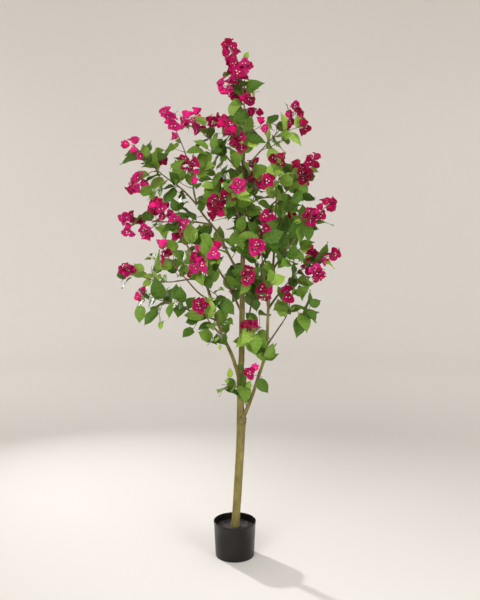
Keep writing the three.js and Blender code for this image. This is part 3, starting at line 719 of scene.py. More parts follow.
def grow_finer(mass):
    draw = seeded(mass.index + FINE_SEED)
    clear_sprays(mass)
    shoots = [twig for twig in mass.twigs if twig.kind == "shoot"]
    solid_twigs = [twig for twig in mass.twigs if twig.kind != "shoot"]
    for twig in solid_twigs:
        if twig.kind == "side" and in_spray(twig, twig.line[0]):
            twig.spray = SIDE_SPRAY * twig.span
        if twig.spray:
            add_spray(mass, twig, draw)
    for twig in solid_twigs:
        add_offshoots(mass, twig, draw, "fine")
    for twig in [*solid_twigs, *shoots] if mass.thick else shoots:
        add_leaves(mass, twig, draw, "fill")
    for twig in mass.twigs:
        if twig.kind == "fine":
            add_leaves(mass, twig, draw, "small")
    drop_lone_leaves(mass)
    for leaf in mass.leaves:
        settle_leaf(leaf, draw)


@functools.cache
def plant():
    limbs = make_limbs()
    spaces = [space_of(foot_of(place, limbs)[0], tip_places(tips)) for _, place, _, tips in FOLIAGE]
    masses = [grow_mass(row, index, spaces, limbs) for index, row in enumerate(FOLIAGE)]
    add_shoots(masses, limbs)
    for mass in masses:
        grow_finer(mass)
    return SimpleNamespace(limbs=limbs, masses=masses)


# ---------- meshes ----------

def ring_frames(way, steps, level):
    """Centre, sideways and across of each ring along a way, without twist."""
    frames = []
    side = Vector((1, 0.01, 0))
    for ring in range(steps + 1):
        tangent = UP if level else way.tangent(ring / steps)
        side = (side - tangent * side.dot(tangent)).normalized()
        frames.append((way.point(ring / steps), side, tangent.cross(side)))
    return frames


def limb_bmesh(way, radius_at, sides, steps, level=False):
    """A cylinder whose rings are carried along a way. radius_at takes share, angle and place."""
    bm = bmesh.new()
    bmesh.ops.create_cone(bm, cap_ends=True, cap_tris=False, segments=sides, radius1=1, radius2=1,
                          depth=1)
    if steps > 1:
        lengthwise = [edge for edge in bm.edges
                      if abs(edge.verts[0].co.z - edge.verts[1].co.z) > 0.5]
        bmesh.ops.subdivide_edges(bm, edges=lengthwise, cuts=steps - 1, use_grid_fill=True)
    frames = ring_frames(way, steps, level)
    for vert in bm.verts:
        ring = round((vert.co.z + 0.5) * steps)
        centre, side, across = frames[ring]
        angle = math.atan2(vert.co.y, vert.co.x)
        out = side * math.cos(angle) + across * math.sin(angle)
        vert.co = centre + out * radius_at(ring / steps, angle, centre)
    return bm


def keep_mesh(name, bm):
    """Turns a bmesh into a mesh and frees it."""
    mesh = bpy.data.meshes.new(name)
    bm.to_mesh(mesh)
    bm.free()
    return mesh


def add_mesh(target, mesh, matrix=None, material=None):
    """Adds a copy of a mesh to a bmesh."""
    copy = mesh.copy()
    if matrix is not None:
        copy.transform(matrix)
    if material is not None:
        copy.polygons.foreach_set("material_index", [material] * len(copy.polygons))
    target.from_mesh(copy)
    bpy.data.meshes.remove(copy)


def add_part(target, part, matrix=None, material=None):
    """Moves one bmesh into another."""
    mesh = keep_mesh("part", part)
    add_mesh(target, mesh, matrix, material)
    bpy.data.meshes.remove(mesh)


def make_object(name, bm, materials, sharp=None):
    """An object that is smooth but for edges sharper than the given angle."""
    for face in bm.faces:
        face.smooth = True
    if sharp is not None:
        for edge in bm.edges:
            edge.smooth = edge.calc_face_angle(0) < math.radians(sharp)
    mesh = keep_mesh(name, bm)
    for material in materials:
        mesh.materials.append(material)
    made = bpy.data.objects.new(name, mesh)
    bpy.context.collection.objects.link(made)
    return made


def finish_piece(name, bm, materials, nodes, sharp=None):
    piece = make_object(name, bm, materials, sharp)
    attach(piece, "root")
    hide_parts(*nodes)


# ---------- materials ----------

def make_material(name, color, roughness, **sockets):
    material = bpy.data.materials.new(name)
    material.use_nodes = True
    shader = material.node_tree.nodes["Principled BSDF"]
    shader.inputs["Base Color"].default_value = (*color, 1)
    shader.inputs["Roughness"].default_value = roughness
    for socket, value in sockets.items():
        shader.inputs[socket.replace("_", " ")].default_value = value
    return material


class Recipe:
    """Adds texture nodes to a material and links them."""

    def __init__(self, material):
        self.tree = material.node_tree
        self.shader = self.tree.nodes["Principled BSDF"]
        self.place = self.tree.nodes.new("ShaderNodeTexCoord").outputs["Object"]

    def feed(self, value, target):
        """Links a socket to an input, or sets the input to a number, a scale or a colour."""
        if isinstance(value, bpy.types.NodeSocket):
            self.tree.links.new(value, target)
        else:
            target.default_value = (*value, 1) if target.type == "RGBA" else value

    def node(self, kind, **inputs):
        node = self.tree.nodes.new(f"ShaderNode{kind}")
        for socket, value in inputs.items():
            self.feed(value, node.inputs[socket.replace("_", " ")])
        return node

    def stretched(self, scale):
        return self.node("Mapping", Vector=self.place, Scale=scale).outputs["Vector"]

    def noise(self, scale, detail=3, vector=None, roughness=0.5):
        return self.node("TexNoise", Vector=vector or self.place, Scale=scale, Detail=detail,
                         Roughness=roughness).outputs["Fac"]

    def cells(self, scale):
        return self.node("TexVoronoi", Vector=self.place, Scale=scale).outputs["Distance"]

    def spread(self, source, low, high, low_at=0.0, high_at=1.0):
        return self.node("MapRange", Value=source, From_Min=low_at, From_Max=high_at, To_Min=low,
                         To_Max=high).outputs["Result"]

    def height(self, low, high):
        """A share that rises from 0 to 1 between two heights of the plant."""
        split = self.node("SeparateXYZ", Vector=self.place)
        return self.spread(split.outputs["Z"], 0, 1, low, high)

    def ramp(self, source, *stops):
        node = self.node("ValToRGB", Fac=source)
        elements = node.color_ramp.elements
        while len(elements) < len(stops):
            elements.new(0.5)
        for element, (position, color) in zip(elements, stops):
            element.position = position
            element.color = (*color, 1)
        return node.outputs["Color"]

    def mix(self, factor, first, second):
        node = self.node("Mix")
        node.data_type = "RGBA"
        for name, value in (("Factor_Float", factor), ("A_Color", first), ("B_Color", second)):
            self.feed(value, next(s for s in node.inputs if s.identifier == name))
        return next(s for s in node.outputs if s.identifier == "Result_Color")

    def base(self, color):
        self.feed(color, self.shader.inputs["Base Color"])

    def roughness(self, value):
        self.feed(value, self.shader.inputs["Roughness"])

    def bump(self, height, strength, distance):
        node = self.node("Bump", Height=height, Strength=strength, Distance=distance)
        previous = self.shader.inputs["Normal"].links
        if previous:
            self.feed(previous[0].from_socket, node.inputs["Normal"])
        self.feed(node.outputs["Normal"], self.shader.inputs["Normal"])


def shade(color, factor):
    return tuple(channel * factor for channel in color)


def pot_material(color):
    material = make_material("pot_satin_plastic", color, 0.4, Specular_IOR_Level=0.34)
    recipe = Recipe(material)
    clouds = recipe.noise(22, 4)
    rubbed = recipe.noise(60, 6, recipe.stretched((1, 1, 0.12)))
    recipe.base(recipe.mix(recipe.spread(clouds, 0, 1, 0.35, 0.7), color, shade(color, 1.35)))
    recipe.roughness(recipe.spread(rubbed, 0.26, 0.42, 0.3, 0.7))
    recipe.bump(recipe.noise(900, 2), 0.12, 0.0004)
    return material


def fill_material(color):
    material = make_material("cement_fill", color, 0.92)
    recipe = Recipe(material)
    grains = recipe.noise(160, 6)
    recipe.base(recipe.ramp(grains, (0.3, shade(color, 0.45)), (0.55, color),
                            (0.75, shade(color, 1.8))))
    recipe.bump(recipe.noise(420, 5), 0.6, 0.0008)
    recipe.bump(recipe.cells(230), 0.35, 0.001)
    return material


BLACK, WHITE = (0, 0, 0), (1, 1, 1)
BARK_SHADES = (1, 0.42, 1.5)      # of its colour: the bark itself, its streaks and its patches
SPOTTED_FORK = (0.48, 0.55)       # heights on the trunk
SPOT_SHADE = 0.3


def bark_material(name, low_color, high_color, low, high):
    """Streaked bark, from one colour below to another above."""
    material = make_material(name, low_color, 0.62)
    recipe = Recipe(material)
    streaks = recipe.noise(130, 5, recipe.stretched((1, 1, 0.17)), 0.65)
    patches = recipe.noise(30, 3, recipe.stretched((1, 1, 0.5)))
    base, dark, pale = (recipe.mix(recipe.height(low, high), shade(low_color, factor),
                                   shade(high_color, factor)) for factor in BARK_SHADES)
    streaked = recipe.mix(recipe.spread(streaks, 0, 0.9, 0.48, 0.66), base, dark)
    patched = recipe.mix(recipe.spread(patches, 0, 0.75, 0.45, 0.7), streaked, pale)
    at_fork = recipe.ramp(recipe.height(*SPOTTED_FORK), (0, BLACK), (0.3, WHITE), (0.6, WHITE),
                          (1, BLACK))
    spots = recipe.mix(at_fork, BLACK, recipe.spread(recipe.noise(110, 2), 0, 0.85, 0.46, 0.6))
    recipe.base(recipe.mix(spots, patched, shade(low_color, SPOT_SHADE)))
    recipe.roughness(recipe.spread(streaks, 0.55, 0.78))
    recipe.bump(streaks, 0.7, 0.002)
    recipe.bump(recipe.noise(260, 4), 0.5, 0.001)
    return material


# ---------- trunk and boughs ----------

TRUNK_SIDES = 48
TRUNK_WIDEST = 16.6 * MM
TRUNK_RING = 7 * MM
BOUGH_RING = 8 * MM
RIDGES = (190, 22)                # of the bark, in a metre across it and up it
PITS = (620, 90)
TRUNK_RELIEF = (0.7 * MM, 0.3 * MM)
BOUGH_RELIEF = (0.45 * MM, 0.25 * MM)
FULL_RELIEF_RADIUS = 15 * MM
FLUTES = 5
FLUTE_DEPTH = 0.6 * MM
FLUTED_FOOT = 20 * MM
COLLAR_RISE = 0.55                # of a bough's foot radius
COLLAR_LENGTH = 2.2
SLIM_TIP = 0.15                   # of a bough's length
SLIMMING = 0.2
NODE_RISE = 0.35 * MM
NODE_STEP = 9 * MM
THICK_BOUGH = 6 * MM
BARKED_BOUGH = 4.8 * MM           # a bough that is thicker has the trunk's colours
# Knots on the trunk: height, bearing, size and how far it stands out
KNOTS = [(509, -20, 20, 2.6), (521, -150, 12, -2.2), (502, 40, 9, -1.8), (652, 178, 16, 1.6),
         (336, 200, 12, 1.0), (262, 330, 9, 0.9), (410, 80, 10, 1.0), (905, 270, 10, 1.2),
         (1010, 180, 11, 1.4), (760, 70, 10, 1.2)]


def bark_relief(place, coarse, fine):
    """Upright ridges and small pits of the bark, in metres."""
    ridges, pits = (noise.noise(Vector((place.x * across, place.y * across, place.z * up)))
                    for across, up in (RIDGES, PITS))
    return coarse * ridges + fine * pits


def knot_height(place, centre, radius):
    total = 0.0
    for height, bearing, size, rise in KNOTS:
        if abs(place.z - height * MM) > 3 * size * MM:
            continue
        angle = math.radians(bearing)
        knot = Vector((centre.x + math.cos(angle) * radius, centre.y + math.sin(angle) * radius,
                       height * MM))
        distance = (place - knot).length / (size * MM)
        total += rise * MM * math.exp(-distance * distance * 1.6)
    return total


def build_trunk(limbs, material):
    trunk = limbs["trunk"]

    def radius_at(share, angle, centre):
        radius = min(trunk.radius_at(share), TRUNK_WIDEST)
        place = centre + Vector((math.cos(angle), math.sin(angle), 0)) * radius
        foot = min(1, (centre.z - TRUNK[0][0] * MM) / FLUTED_FOOT)
        flutes = FLUTE_DEPTH * math.cos(FLUTES * angle + 2) * (1 - foot)
        relief = bark_relief(place, *TRUNK_RELIEF) * (0.4 + 0.6 * radius / FULL_RELIEF_RADIUS)
        return radius + flutes + knot_height(place, centre, radius) + relief
    steps = round(trunk.length / TRUNK_RING)
    bm = limb_bmesh(trunk.way, radius_at, TRUNK_SIDES, steps, level=True)
    finish_piece("trunk_bark", bm, [material], ["trunk"])


def build_boughs(limbs, materials):
    bm = bmesh.new()
    for limb in limbs.values():
        if not limb.carrier:
            continue
        base = limb.radius_at(0)

        def radius_at(share, angle, centre):
            radius = limb.radius_at(share)
            from_foot = share * limb.length
            collar = COLLAR_RISE * base * math.exp(-from_foot / (COLLAR_LENGTH * base))
            slim = 1 - SLIMMING * max(0, share - (1 - SLIM_TIP)) / SLIM_TIP
            place = centre + Vector((math.cos(angle), math.sin(angle), 0)) * radius
            node = NODE_RISE * max(0, math.sin(from_foot / NODE_STEP) - 0.75) * 4
            return radius * slim + collar + node + bark_relief(place, *BOUGH_RELIEF) * 0.8
        steps = round(limb.length / BOUGH_RING)
        part = limb_bmesh(limb.way, radius_at, 20 if base > THICK_BOUGH else 12, steps)
        add_part(bm, part, material=0 if base > BARKED_BOUGH else 1)
    names = [name for name in limbs if name != "trunk"]
    finish_piece("boughs_bark", bm, materials, names)


# ---------- pot and fill ----------

POT_CORNER = 4 * MM               # inside, where wall and floor meet
POT_SHARP = 50                    # degrees
POT_STEPS = 96
SOLID_WALL = 2 * MM
FILL_RINGS = 30
FILL_STEPS = 90
LUMPS = ((60, 2.2), (190, 1.1))   # how fine, and how high in millimetres
HEAP = (19 * MM, 2.2 * MM, 12 * MM)    # round the trunk: how far it is level, height, slope
HOLLOW = 2 * MM                   # how much lower the fill is at its edge
PEBBLE_SEED = 61
PEBBLE_SIZE = (1.6, 4.6)
PEBBLE_STRETCH = (1.15, 1, 0.7)
PEBBLE_SUNK = (0.1, 0.5)          # how deep its middle is, of its size
PEBBLE_FIELD = (21 * MM, 5 * MM)  # from the trunk's middle, and in from the edge


def pot_radius(z):
    return between(POT_BASE_RADIUS, POT_RIM_RADIUS, z / POT_HEIGHT)


def spun(profile, steps):
    """A closed shape from a profile of radius and height, turned round the upright axis."""
    bm = bmesh.new()
    verts = [bm.verts.new((radius, 0, z)) for radius, z in profile]
    edges = [bm.edges.new(pair) for pair in zip(verts, verts[1:])]
    bmesh.ops.spin(bm, geom=verts + edges, axis=(0, 0, 1), cent=(0, 0, 0), steps=steps,
                   angle=math.tau, use_merge=True)
    bmesh.ops.remove_doubles(bm, verts=bm.verts, dist=1e-6)
    bmesh.ops.recalc_face_normals(bm, faces=bm.faces)
    return bm


def arc(centre, radius, start, end, count):
    for i in range(count + 1):
        angle = math.radians(between(start, end, i / count))
        yield (centre[0] + radius * math.cos(angle), centre[1] + radius * math.sin(angle))


def build_pot(settings, material):
    wall, band = settings.wall, settings.band_height
    lip = wall / 2
    top = POT_HEIGHT - lip
    foot = settings.foot_round
    band_foot = POT_HEIGHT - band
    proud = settings.band_proud
    inner = pot_radius(POT_FLOOR) - wall
    profile = [
        (0, 0.0), (pot_radius(0) * 0.5, 0.0), (pot_radius(0) - foot * 2.5, 0.0),
        *arc((pot_radius(0) - foot, foot), foot, -90, 0, 5),
        *((pot_radius(POT_HEIGHT * share) - proud * share, POT_HEIGHT * share)
          for share in (0.3, 0.6)),
        (pot_radius(band_foot) - proud, band_foot - proud * 1.4),
        (pot_radius(band_foot), band_foot),
        *arc((pot_radius(top) - lip, top), lip, 0, 180, 8),
        (pot_radius(band_foot) - wall, band_foot),
        (pot_radius(POT_HEIGHT * 0.5) - wall, POT_HEIGHT * 0.5),
        *arc((inner - POT_CORNER, POT_FLOOR + POT_CORNER), POT_CORNER, 0, -90, 4),
        (0, POT_FLOOR),
    ]
    finish_piece("nursery_pot", spun(profile, POT_STEPS), [material], ["pot"],
                 POT_SHARP)


def build_fill(settings, material):
    edge = pot_radius(FILL_TOP) - SOLID_WALL - GAP
    foot = POT_FLOOR + GAP
    profile = [(0, foot), (edge - POT_CORNER, foot)]
    profile += [(edge * (1 - i / FILL_RINGS), FILL_TOP) for i in range(FILL_RINGS + 1)]
    bm = spun(profile, FILL_STEPS)
    trunk_x = TRUNK[0][1] * MM
    level, rise, slope = HEAP
    for vert in bm.verts:
        if vert.co.z < FILL_TOP - MM:
            continue
        away = math.hypot(vert.co.x - trunk_x, vert.co.y)
        lumps = sum(noise.noise(vert.co * fine) * high * MM for fine, high in LUMPS)
        heap = rise * math.exp(-max(0, away - level) / slope)
        vert.co.z += lumps * settings.lumps + heap - HOLLOW * min(1, away / edge) ** 4
    draw = seeded(PEBBLE_SEED)
    ball = bmesh.new()
    bmesh.ops.create_icosphere(ball, subdivisions=2, radius=1)
    for vert in ball.verts:
        vert.co *= 1 + 0.22 * noise.noise(vert.co * 1.7)
    pebble = keep_mesh("pebble", ball)
    for i in range(settings.pebbles):
        away = between(PEBBLE_FIELD[0], edge - PEBBLE_FIELD[1], math.sqrt(draw()))
        bearing = i * GOLDEN_ANGLE
        size = between(*PEBBLE_SIZE, draw() ** 2) * MM
        spot = Vector((trunk_x + away * math.cos(bearing), away * math.sin(bearing), 0))
        if spot.length > edge - 1.4 * size:
            continue
        spot.z = FILL_TOP - size * between(*PEBBLE_SUNK, draw())
        turn = Quaternion((draw() - 0.5, draw() - 0.5, 1), draw() * math.tau).to_matrix().to_4x4()
        flat = Matrix.Diagonal((*(size * stretch for stretch in PEBBLE_STRETCH), 1))
        add_mesh(bm, pebble, Matrix.Translation(spot) @ turn @ flat)
    finish_piece("pebbly_fill", bm, [material], ["fill"])


# ---------- leaves ----------

LEAF_COLUMNS = (-1, -0.52, -0.045, 0.045, 0.52, 1)
# Rows along a leaf; the narrow ones are its side veins
LEAF_ROWS = (0, 0.05, 0.19, 0.216, 0.37, 0.396, 0.55, 0.576, 0.76, 0.9, 1)
CLOTH_LEAF_WIDTH = 0.63
SMALL_LEAF_ROWS = (0, 0.06, 0.24, 0.48, 0.74, 0.9, 1)
RIB = 0.1                         # columns and rows narrower than this are ribs
VEIN = 0.03
LEAF_SHEET = 0.006                # thickness, of the leaf's length
SHEET_EDGE = 70                   # degrees: a fold sharper than this is an edge
VEIN_SLANT = 0.42
LEAF_LIFT = (0.05, 0.7)
LEAF_FRONT = Vector((0, -1, 0))
FRONT_LEAVES = 0.06               # a leaf that is rooted nearer than this faces the front
SETTLED = SimpleNamespace(up=0.6, outward=0.5, front=0.65, away=1.3)
LEAF_SEED = 17
LEAF_LEAN = 0.55                  # how much of a leaf's tone is its spray's
# Ways that a leaf is bent: fold along its midrib, arch across it, droop, wave and twist
LEAF_BENDS = [(0.42, 0.3, 0.18, 0.030, 0.15), (0.28, 0.5, 0.26, 0.040, -0.20),
              (0.52, 0.2, 0.12, 0.030, 0.10), (0.20, 0.6, 0.22, 0.050, 0.25),
              (0.34, 0.2, 0.34, 0.030, -0.10), (0.24, 0.1, 0.10, 0.050, -0.30),
              (0.46, 0.5, 0.24, 0.055, 0.22), (-0.24, 0.2, 0.20, 0.040, 0.15)]


def leaf_half_width(share):
    """An ovate outline with a drawn-out tip, for a leaf of length 1."""
    if share <= 0 or share >= 1:
        return 0.0
    return CLOTH_LEAF_WIDTH / 2 * math.sin(math.pi * share ** 0.74) ** (0.58 + 1.1 * share ** 3)


def closed_sheet(columns, rows, surface, thickness):
    """A thin sheet on a surface, and its plainer back, which meet along the outline.

    The sheet's ribs take the second material and its back the third.
    """
    bm = bmesh.new()
    for stations, is_back in ((columns, False), ((-1, 0, 1), True)):
        across, along = len(stations) - 1, len(rows) - 1
        layer = bmesh.new()
        bmesh.ops.create_grid(layer, x_segments=across, y_segments=along, size=0.5)
        for face in layer.faces:
            middle = face.calc_center_median()
            column, row = int((middle.x + 0.5) * across), int((middle.y + 0.5) * along)
            rib = (stations[column + 1] - stations[column] < RIB
                   or rows[row + 1] - rows[row] < VEIN)
            face.material_index = 2 if is_back else 1 if rib else 0
        for vert in layer.verts:
            column = stations[round((vert.co.x + 0.5) * across)]
            row = rows[round((vert.co.y + 0.5) * along)]
            behind = thickness if is_back and column == 0 and 0 < row < 1 else 0
            vert.co = surface(column, row, behind)
        if is_back:
            bmesh.ops.reverse_faces(layer, faces=layer.faces)
        add_part(bm, layer)
    bmesh.ops.remove_doubles(bm, verts=bm.verts, dist=1e-5)
    return bm


def leaf_template(bend, rows):
    fold, arch, droop, wave, twist = bend

    def surface(column, row, behind):
        share = row + VEIN_SLANT * abs(column) * row * (1 - row)
        x = column * leaf_half_width(share)
        z = fold * abs(x) - arch * x * x - droop * share ** 2 + twist * x * share
        z += wave * math.sin(9 * share + (2 if column > 0 else -2)) * column * column
        return Vector((x, share, z + droop * 0.15 * share - behind))
    return keep_mesh("leaf", closed_sheet(LEAF_COLUMNS, rows, surface, LEAF_SHEET))


def settle_leaf(leaf, draw):
    """A cloth leaf is bent up at its stalk and turned there to show its face."""
    outward = Vector((leaf.root.x, leaf.root.y, 0)).normalized()
    away = Vector((draw() - 0.5, draw() - 0.5, draw() - 0.3))
    lift = between(*LEAF_LIFT, draw())
    leaf.along = (leaf.along + UP * lift).normalized()
    front = SETTLED.front if leaf.root.y < FRONT_LEAVES else -SETTLED.front
    face = UP * SETTLED.up + outward * SETTLED.outward + LEAF_FRONT * front + away * SETTLED.away
    leaf.normal = (face - leaf.along * face.dot(leaf.along)).normalized()


def leaf_matrix(leaf):
    across = leaf.along.cross(leaf.normal)
    turn = Matrix((across, leaf.along, leaf.normal)).transposed().to_4x4()
    size = leaf.length - PETIOLE
    foot = leaf.root + leaf.along * PETIOLE
    return Matrix.Translation(foot) @ turn @ Matrix.Scale(size, 4)


TONES = ("dark", "mid", "light", "young")
# Tones by kind of leaf, each with the share below which it is picked; small ones are the youngest
LEAF_TONES = {"small": ((0.32, "young"), (0.6, "light"), (1, "mid")),
              "large": ((0.24, "light"), (0.54, "mid"), (0.95, "dark"), (1, "young"))}


def tone_at(tones, pick):
    return next(tone for limit, tone in tones if pick < limit)


def build_leaves(masses, materials):
    """Each spray leans to a tone of its own."""
    templates = {size: [leaf_template(bend, rows) for bend in LEAF_BENDS]
                 for size, rows in (("large", LEAF_ROWS), ("small", SMALL_LEAF_ROWS))}
    targets = {tone: bmesh.new() for tone in TONES}
    draw = seeded(LEAF_SEED)
    for mass in masses:
        leans = {id(twig): draw() for twig in mass.twigs}
        for leaf in mass.leaves:
            size = "small" if leaf.kind == "small" else "large"
            template = templates[size][int(draw() * len(LEAF_BENDS))]
            pick = LEAF_LEAN * leans[id(leaf.twig)] + (1 - LEAF_LEAN) * draw()
            add_mesh(targets[tone_at(LEAF_TONES[size], pick)], template, leaf_matrix(leaf))
    names = [mass.name for mass in masses]
    for tone, bm in targets.items():
        finish_piece(f"leaves_{tone}", bm, materials[tone], names, SHEET_EDGE)


# ---------- blossom ----------

BRACT_COLUMNS = (-1, -0.5, 0, 0.5, 1)
BRACT_ROWS = (0, 0.2, 0.48, 0.76, 0.9, 1)
BRACT_LENGTH = 1.36               # of the floret's radius
BRACT_FOOT = 0.06
# Ways that a floret opens: lean of its bracts from its axis at foot and tip, in degrees, cup, stars
FLORET_OPENINGS = [(14, 62, 0.9, 3), (24, 84, 0.7, 2), (8, 46, 1.1, 2), (30, 66, 0.6, 3),
                   (12, 36, 1.2, 1), (36, 100, 0.6, 3), (18, 74, 0.8, 2), (6, 56, 1.0, 2)]
CRINKLE = 0.24
STAR_RADIUS = 0.14
TUBE_OFFSET = 0.05
TUBE_LEAN = 0.32
TUBE_LENGTH = 0.62
TUBE_LONGER = 0.07                # each than the one before
BRACT_SHEET = 0.02
BRACT_WIDTH = 0.66
BRACT_SWAY = 10                   # degrees
BRACT_TURN = 0.15
FLORET_SEED = 300
BLOSSOM_SEED = 23
BLOSSOM_LEAN = 0.6                # how much of a floret's tone is its spray's
STALK_RADII = (0.7 * MM, 0.9 * MM)
TUBE_RADII = (0.9 * MM, 1.2 * MM)


def bract_half_width(share):
    if share >= 1:
        return 0.0
    bluntness = 0.52 + 0.16 * share ** 3
    return BRACT_WIDTH * math.sin(math.pi * (0.02 + 0.98 * share) ** 0.9) ** bluntness


def bract_bmesh(foot_lean, tip_lean, cup, seed):
    """One papery bract, standing out along +X from the floret's axis and cupped towards it."""
    spine = [Vector((BRACT_FOOT, 0, -FLORET_BASE))]
    for low, high in zip(BRACT_ROWS, BRACT_ROWS[1:]):
        lean = math.radians(between(foot_lean, tip_lean, (low + high) / 2))
        stretch = BRACT_LENGTH * (high - low)
        spine.append(spine[-1] + Vector((math.sin(lean), 0, math.cos(lean))) * stretch)

    def surface(column, row, behind):
        lean = math.radians(between(foot_lean, tip_lean, row))
        inward = Vector((-math.cos(lean), 0, math.sin(lean)))
        across = column * bract_half_width(row)
        crease = CRINKLE * noise.noise(Vector((column * 2.1, row * 3.7, seed)))
        lift = cup * across * across + crease + behind
        return spine[BRACT_ROWS.index(row)] + Vector((0, across, 0)) + inward * lift
    bm = closed_sheet(BRACT_COLUMNS, BRACT_ROWS, surface, BRACT_SHEET)
    bmesh.ops.recalc_face_normals(bm, faces=bm.faces)
    # The back sheet, on the inner side of the cup, takes the second material, a darker copy of the
    # bract's colour: painted shade.
    for face in bm.faces:
        face.material_index = 1 if face.material_index == 2 else 0
    return bm


def floret_template(opening, index):
    foot_lean, tip_lean, cup, _ = opening
    floret = bmesh.new()
    draw = seeded(FLORET_SEED + index)
    for i in range(3):
        sway = between(-BRACT_SWAY, BRACT_SWAY, draw())
        bract = bract_bmesh(foot_lean + sway, tip_lean + 2 * sway, cup, 10 * index + i)
        turn = i * math.tau / 3 + between(-BRACT_TURN, BRACT_TURN, draw())
        add_part(floret, bract, Matrix.Rotation(turn, 4, "Z"))
    return keep_mesh("floret", floret)


def star_places(opening):
    """Foot, tip and way of each small tubular flower inside a floret."""
    stars = opening[3]
    for i in range(stars):
        turn = i * math.tau / stars + 0.5
        out = Vector((math.cos(turn), math.sin(turn), 0))
        foot = out * TUBE_OFFSET - UP * FLORET_BASE
        way = (UP + out * (TUBE_LEAN if stars > 1 else TUBE_OFFSET)).normalized()
        yield foot, foot + way * (TUBE_LENGTH + TUBE_LONGER * i), way


def star_template():
    """A small white flower with five lobes, flaring from the end of its tube."""
    bm = bmesh.new()
    bmesh.ops.create_cone(bm, cap_ends=True, cap_tris=True, segments=10, radius1=0.3, radius2=1,
                          depth=0.5)
    for vert in bm.verts:
        if vert.co.z > 0 and vert.co.xy.length > 0.5:
            lobe = round(math.atan2(vert.co.y, vert.co.x) / (math.tau / 10)) % 2 == 0
            vert.co = Vector((vert.co.x, vert.co.y, 0)) * (1 if lobe else 0.55)
            vert.co.z = 0.28 if lobe else 0.1
    return keep_mesh("star", bm)


def stalk_bmesh(start, end, radii):
    way = BentWay(start, (start + end) / 2, end)
    return limb_bmesh(way, lambda share, angle, centre: between(*radii, share), 5, 1)


def floret_matrix(floret):
    side = any_side_of(floret.along, floret.turn)
    turn = Matrix((side, floret.along.cross(side), floret.along)).transposed().to_4x4()
    return Matrix.Translation(floret_face(floret)) @ turn @ Matrix.Scale(floret.radius, 4)


# Painted light and shade: bracts are picked pinker towards the lit left of the crown and deeper red
# towards its shaded right and back. The bright pink tone partly stands for a painted glow of light
# shining through the bracts.
BRACT_TONES = ((0.36, "pink"), (0.74, "magenta"), (math.inf, "crimson"))
PAINTED_LIGHT_SLOPE = (0.6, 0.4)               # a metre to the right, and a metre back


def bract_tone(floret, lean):
    """Pinker to the left of the crown and deeper red to the right and back: painted light and
    shade.
    """
    right, back = PAINTED_LIGHT_SLOPE
    pick = lean + floret.root.x * right + (floret.root.y + 0.05) * back
    return tone_at(BRACT_TONES, pick)


def build_blossom(masses, materials):
    florets = [floret_template(opening, i) for i, opening in enumerate(FLORET_OPENINGS)]
    star = star_template()
    targets = {tone: bmesh.new() for _, tone in BRACT_TONES}
    stars, stalks = bmesh.new(), bmesh.new()
    draw = seeded(BLOSSOM_SEED)
    for mass in masses:
        leans = {id(twig): draw() for twig in mass.twigs}
        for floret in mass.florets:
            pick = int(draw() * len(florets))
            matrix = floret_matrix(floret)
            lean = BLOSSOM_LEAN * leans[id(floret.twig)] + (1 - BLOSSOM_LEAN) * draw()
            add_mesh(targets[bract_tone(floret, lean)], florets[pick], matrix)
            base = matrix @ Vector((0, 0, -FLORET_BASE))
            add_part(stalks, stalk_bmesh(floret.root, base, STALK_RADII), material=0)
            for foot, tip, way in star_places(FLORET_OPENINGS[pick]):
                tube = stalk_bmesh(matrix @ foot, matrix @ tip, TUBE_RADII)
                add_part(stalks, tube, material=1)
                lay = Matrix.Translation(tip) @ way.to_track_quat("Z", "Y").to_matrix().to_4x4()
                add_mesh(stars, star, matrix @ lay @ Matrix.Scale(STAR_RADIUS, 4))
    names = [mass.name for mass in masses]
    for tone, bm in targets.items():
        finish_piece(f"bracts_{tone}", bm, materials[tone], names, SHEET_EDGE)
    finish_piece("star_flowers", stars, [materials["star"]], names)
    finish_piece("blossom_stalks", stalks, [materials["stalk"], materials["tube"]],
                 names)


# ---------- twigs ----------

TWIG_SWELL = 0.12                 # of its radius, at every other ring
TWIG_RIDGES = 0.1
PETIOLE_RADII = (0.9 * MM, 0.6 * MM)
PETIOLE_SINK = 1.5 * MM
STEM_WIRE_RADIUS = 1.9 * MM
# The lowest stem runs down the front of the trunk to the first fork, in millimetres
STEM_WIRE = [(33, -12, 505), (40, -14, 530), (42, -16, 556), (36, -18, 582), (18, -19, 600)]


def twig_bmesh(twig):
    radii = TWIG_RADII[twig.kind]
    steps = max(2, round(twig.span / TWIG_RING))

    def radius_at(share, angle, centre):
        swell = TWIG_SWELL if round(share * steps) % 2 else 0.0
        ridges = TWIG_RIDGES * math.cos(3 * angle + 9 * share)
        return between(*radii, share) * (1 + swell + ridges)
    way = twig.way
    if twig.kind == "stem":
        sunk = way.start - way.tangent(0) * STEM_SINK
        way = BentWay(sunk, way.bend, way.end)
    return limb_bmesh(way, radius_at, 6 if twig.kind != "fine" else 5, steps)


def nearest_on(twig, root):
    shares = [i / 24 for i in range(25)]
    return min((twig.way.point(share) for share in shares), key=lambda p: (p - root).length)


def build_twigs(masses, materials):
    woody, petioles = bmesh.new(), bmesh.new()
    wire_way = SmoothWay([vec(place) for place in STEM_WIRE])
    wire = limb_bmesh(wire_way, lambda share, angle, centre: STEM_WIRE_RADIUS, 6, 12)
    add_part(woody, wire, material=0)
    for mass in masses:
        for twig in mass.twigs:
            add_part(woody, twig_bmesh(twig), material=1 if twig.kind == "fine" else 0)
        for leaf in mass.leaves:
            start = nearest_on(leaf.twig, leaf.root)
            end = leaf.root + leaf.along * (PETIOLE + PETIOLE_SINK)
            add_part(petioles, stalk_bmesh(start, end, PETIOLE_RADII))
    names = [mass.name for mass in masses]
    finish_piece("twigs", woody, [materials["twig"], materials["fine_twig"]], names)
    finish_piece("leaf_stalks", petioles, [materials["petiole"]], names)


# ---------- stage ----------

COVE_STEPS = 24
FLOOR_STEPS = 128


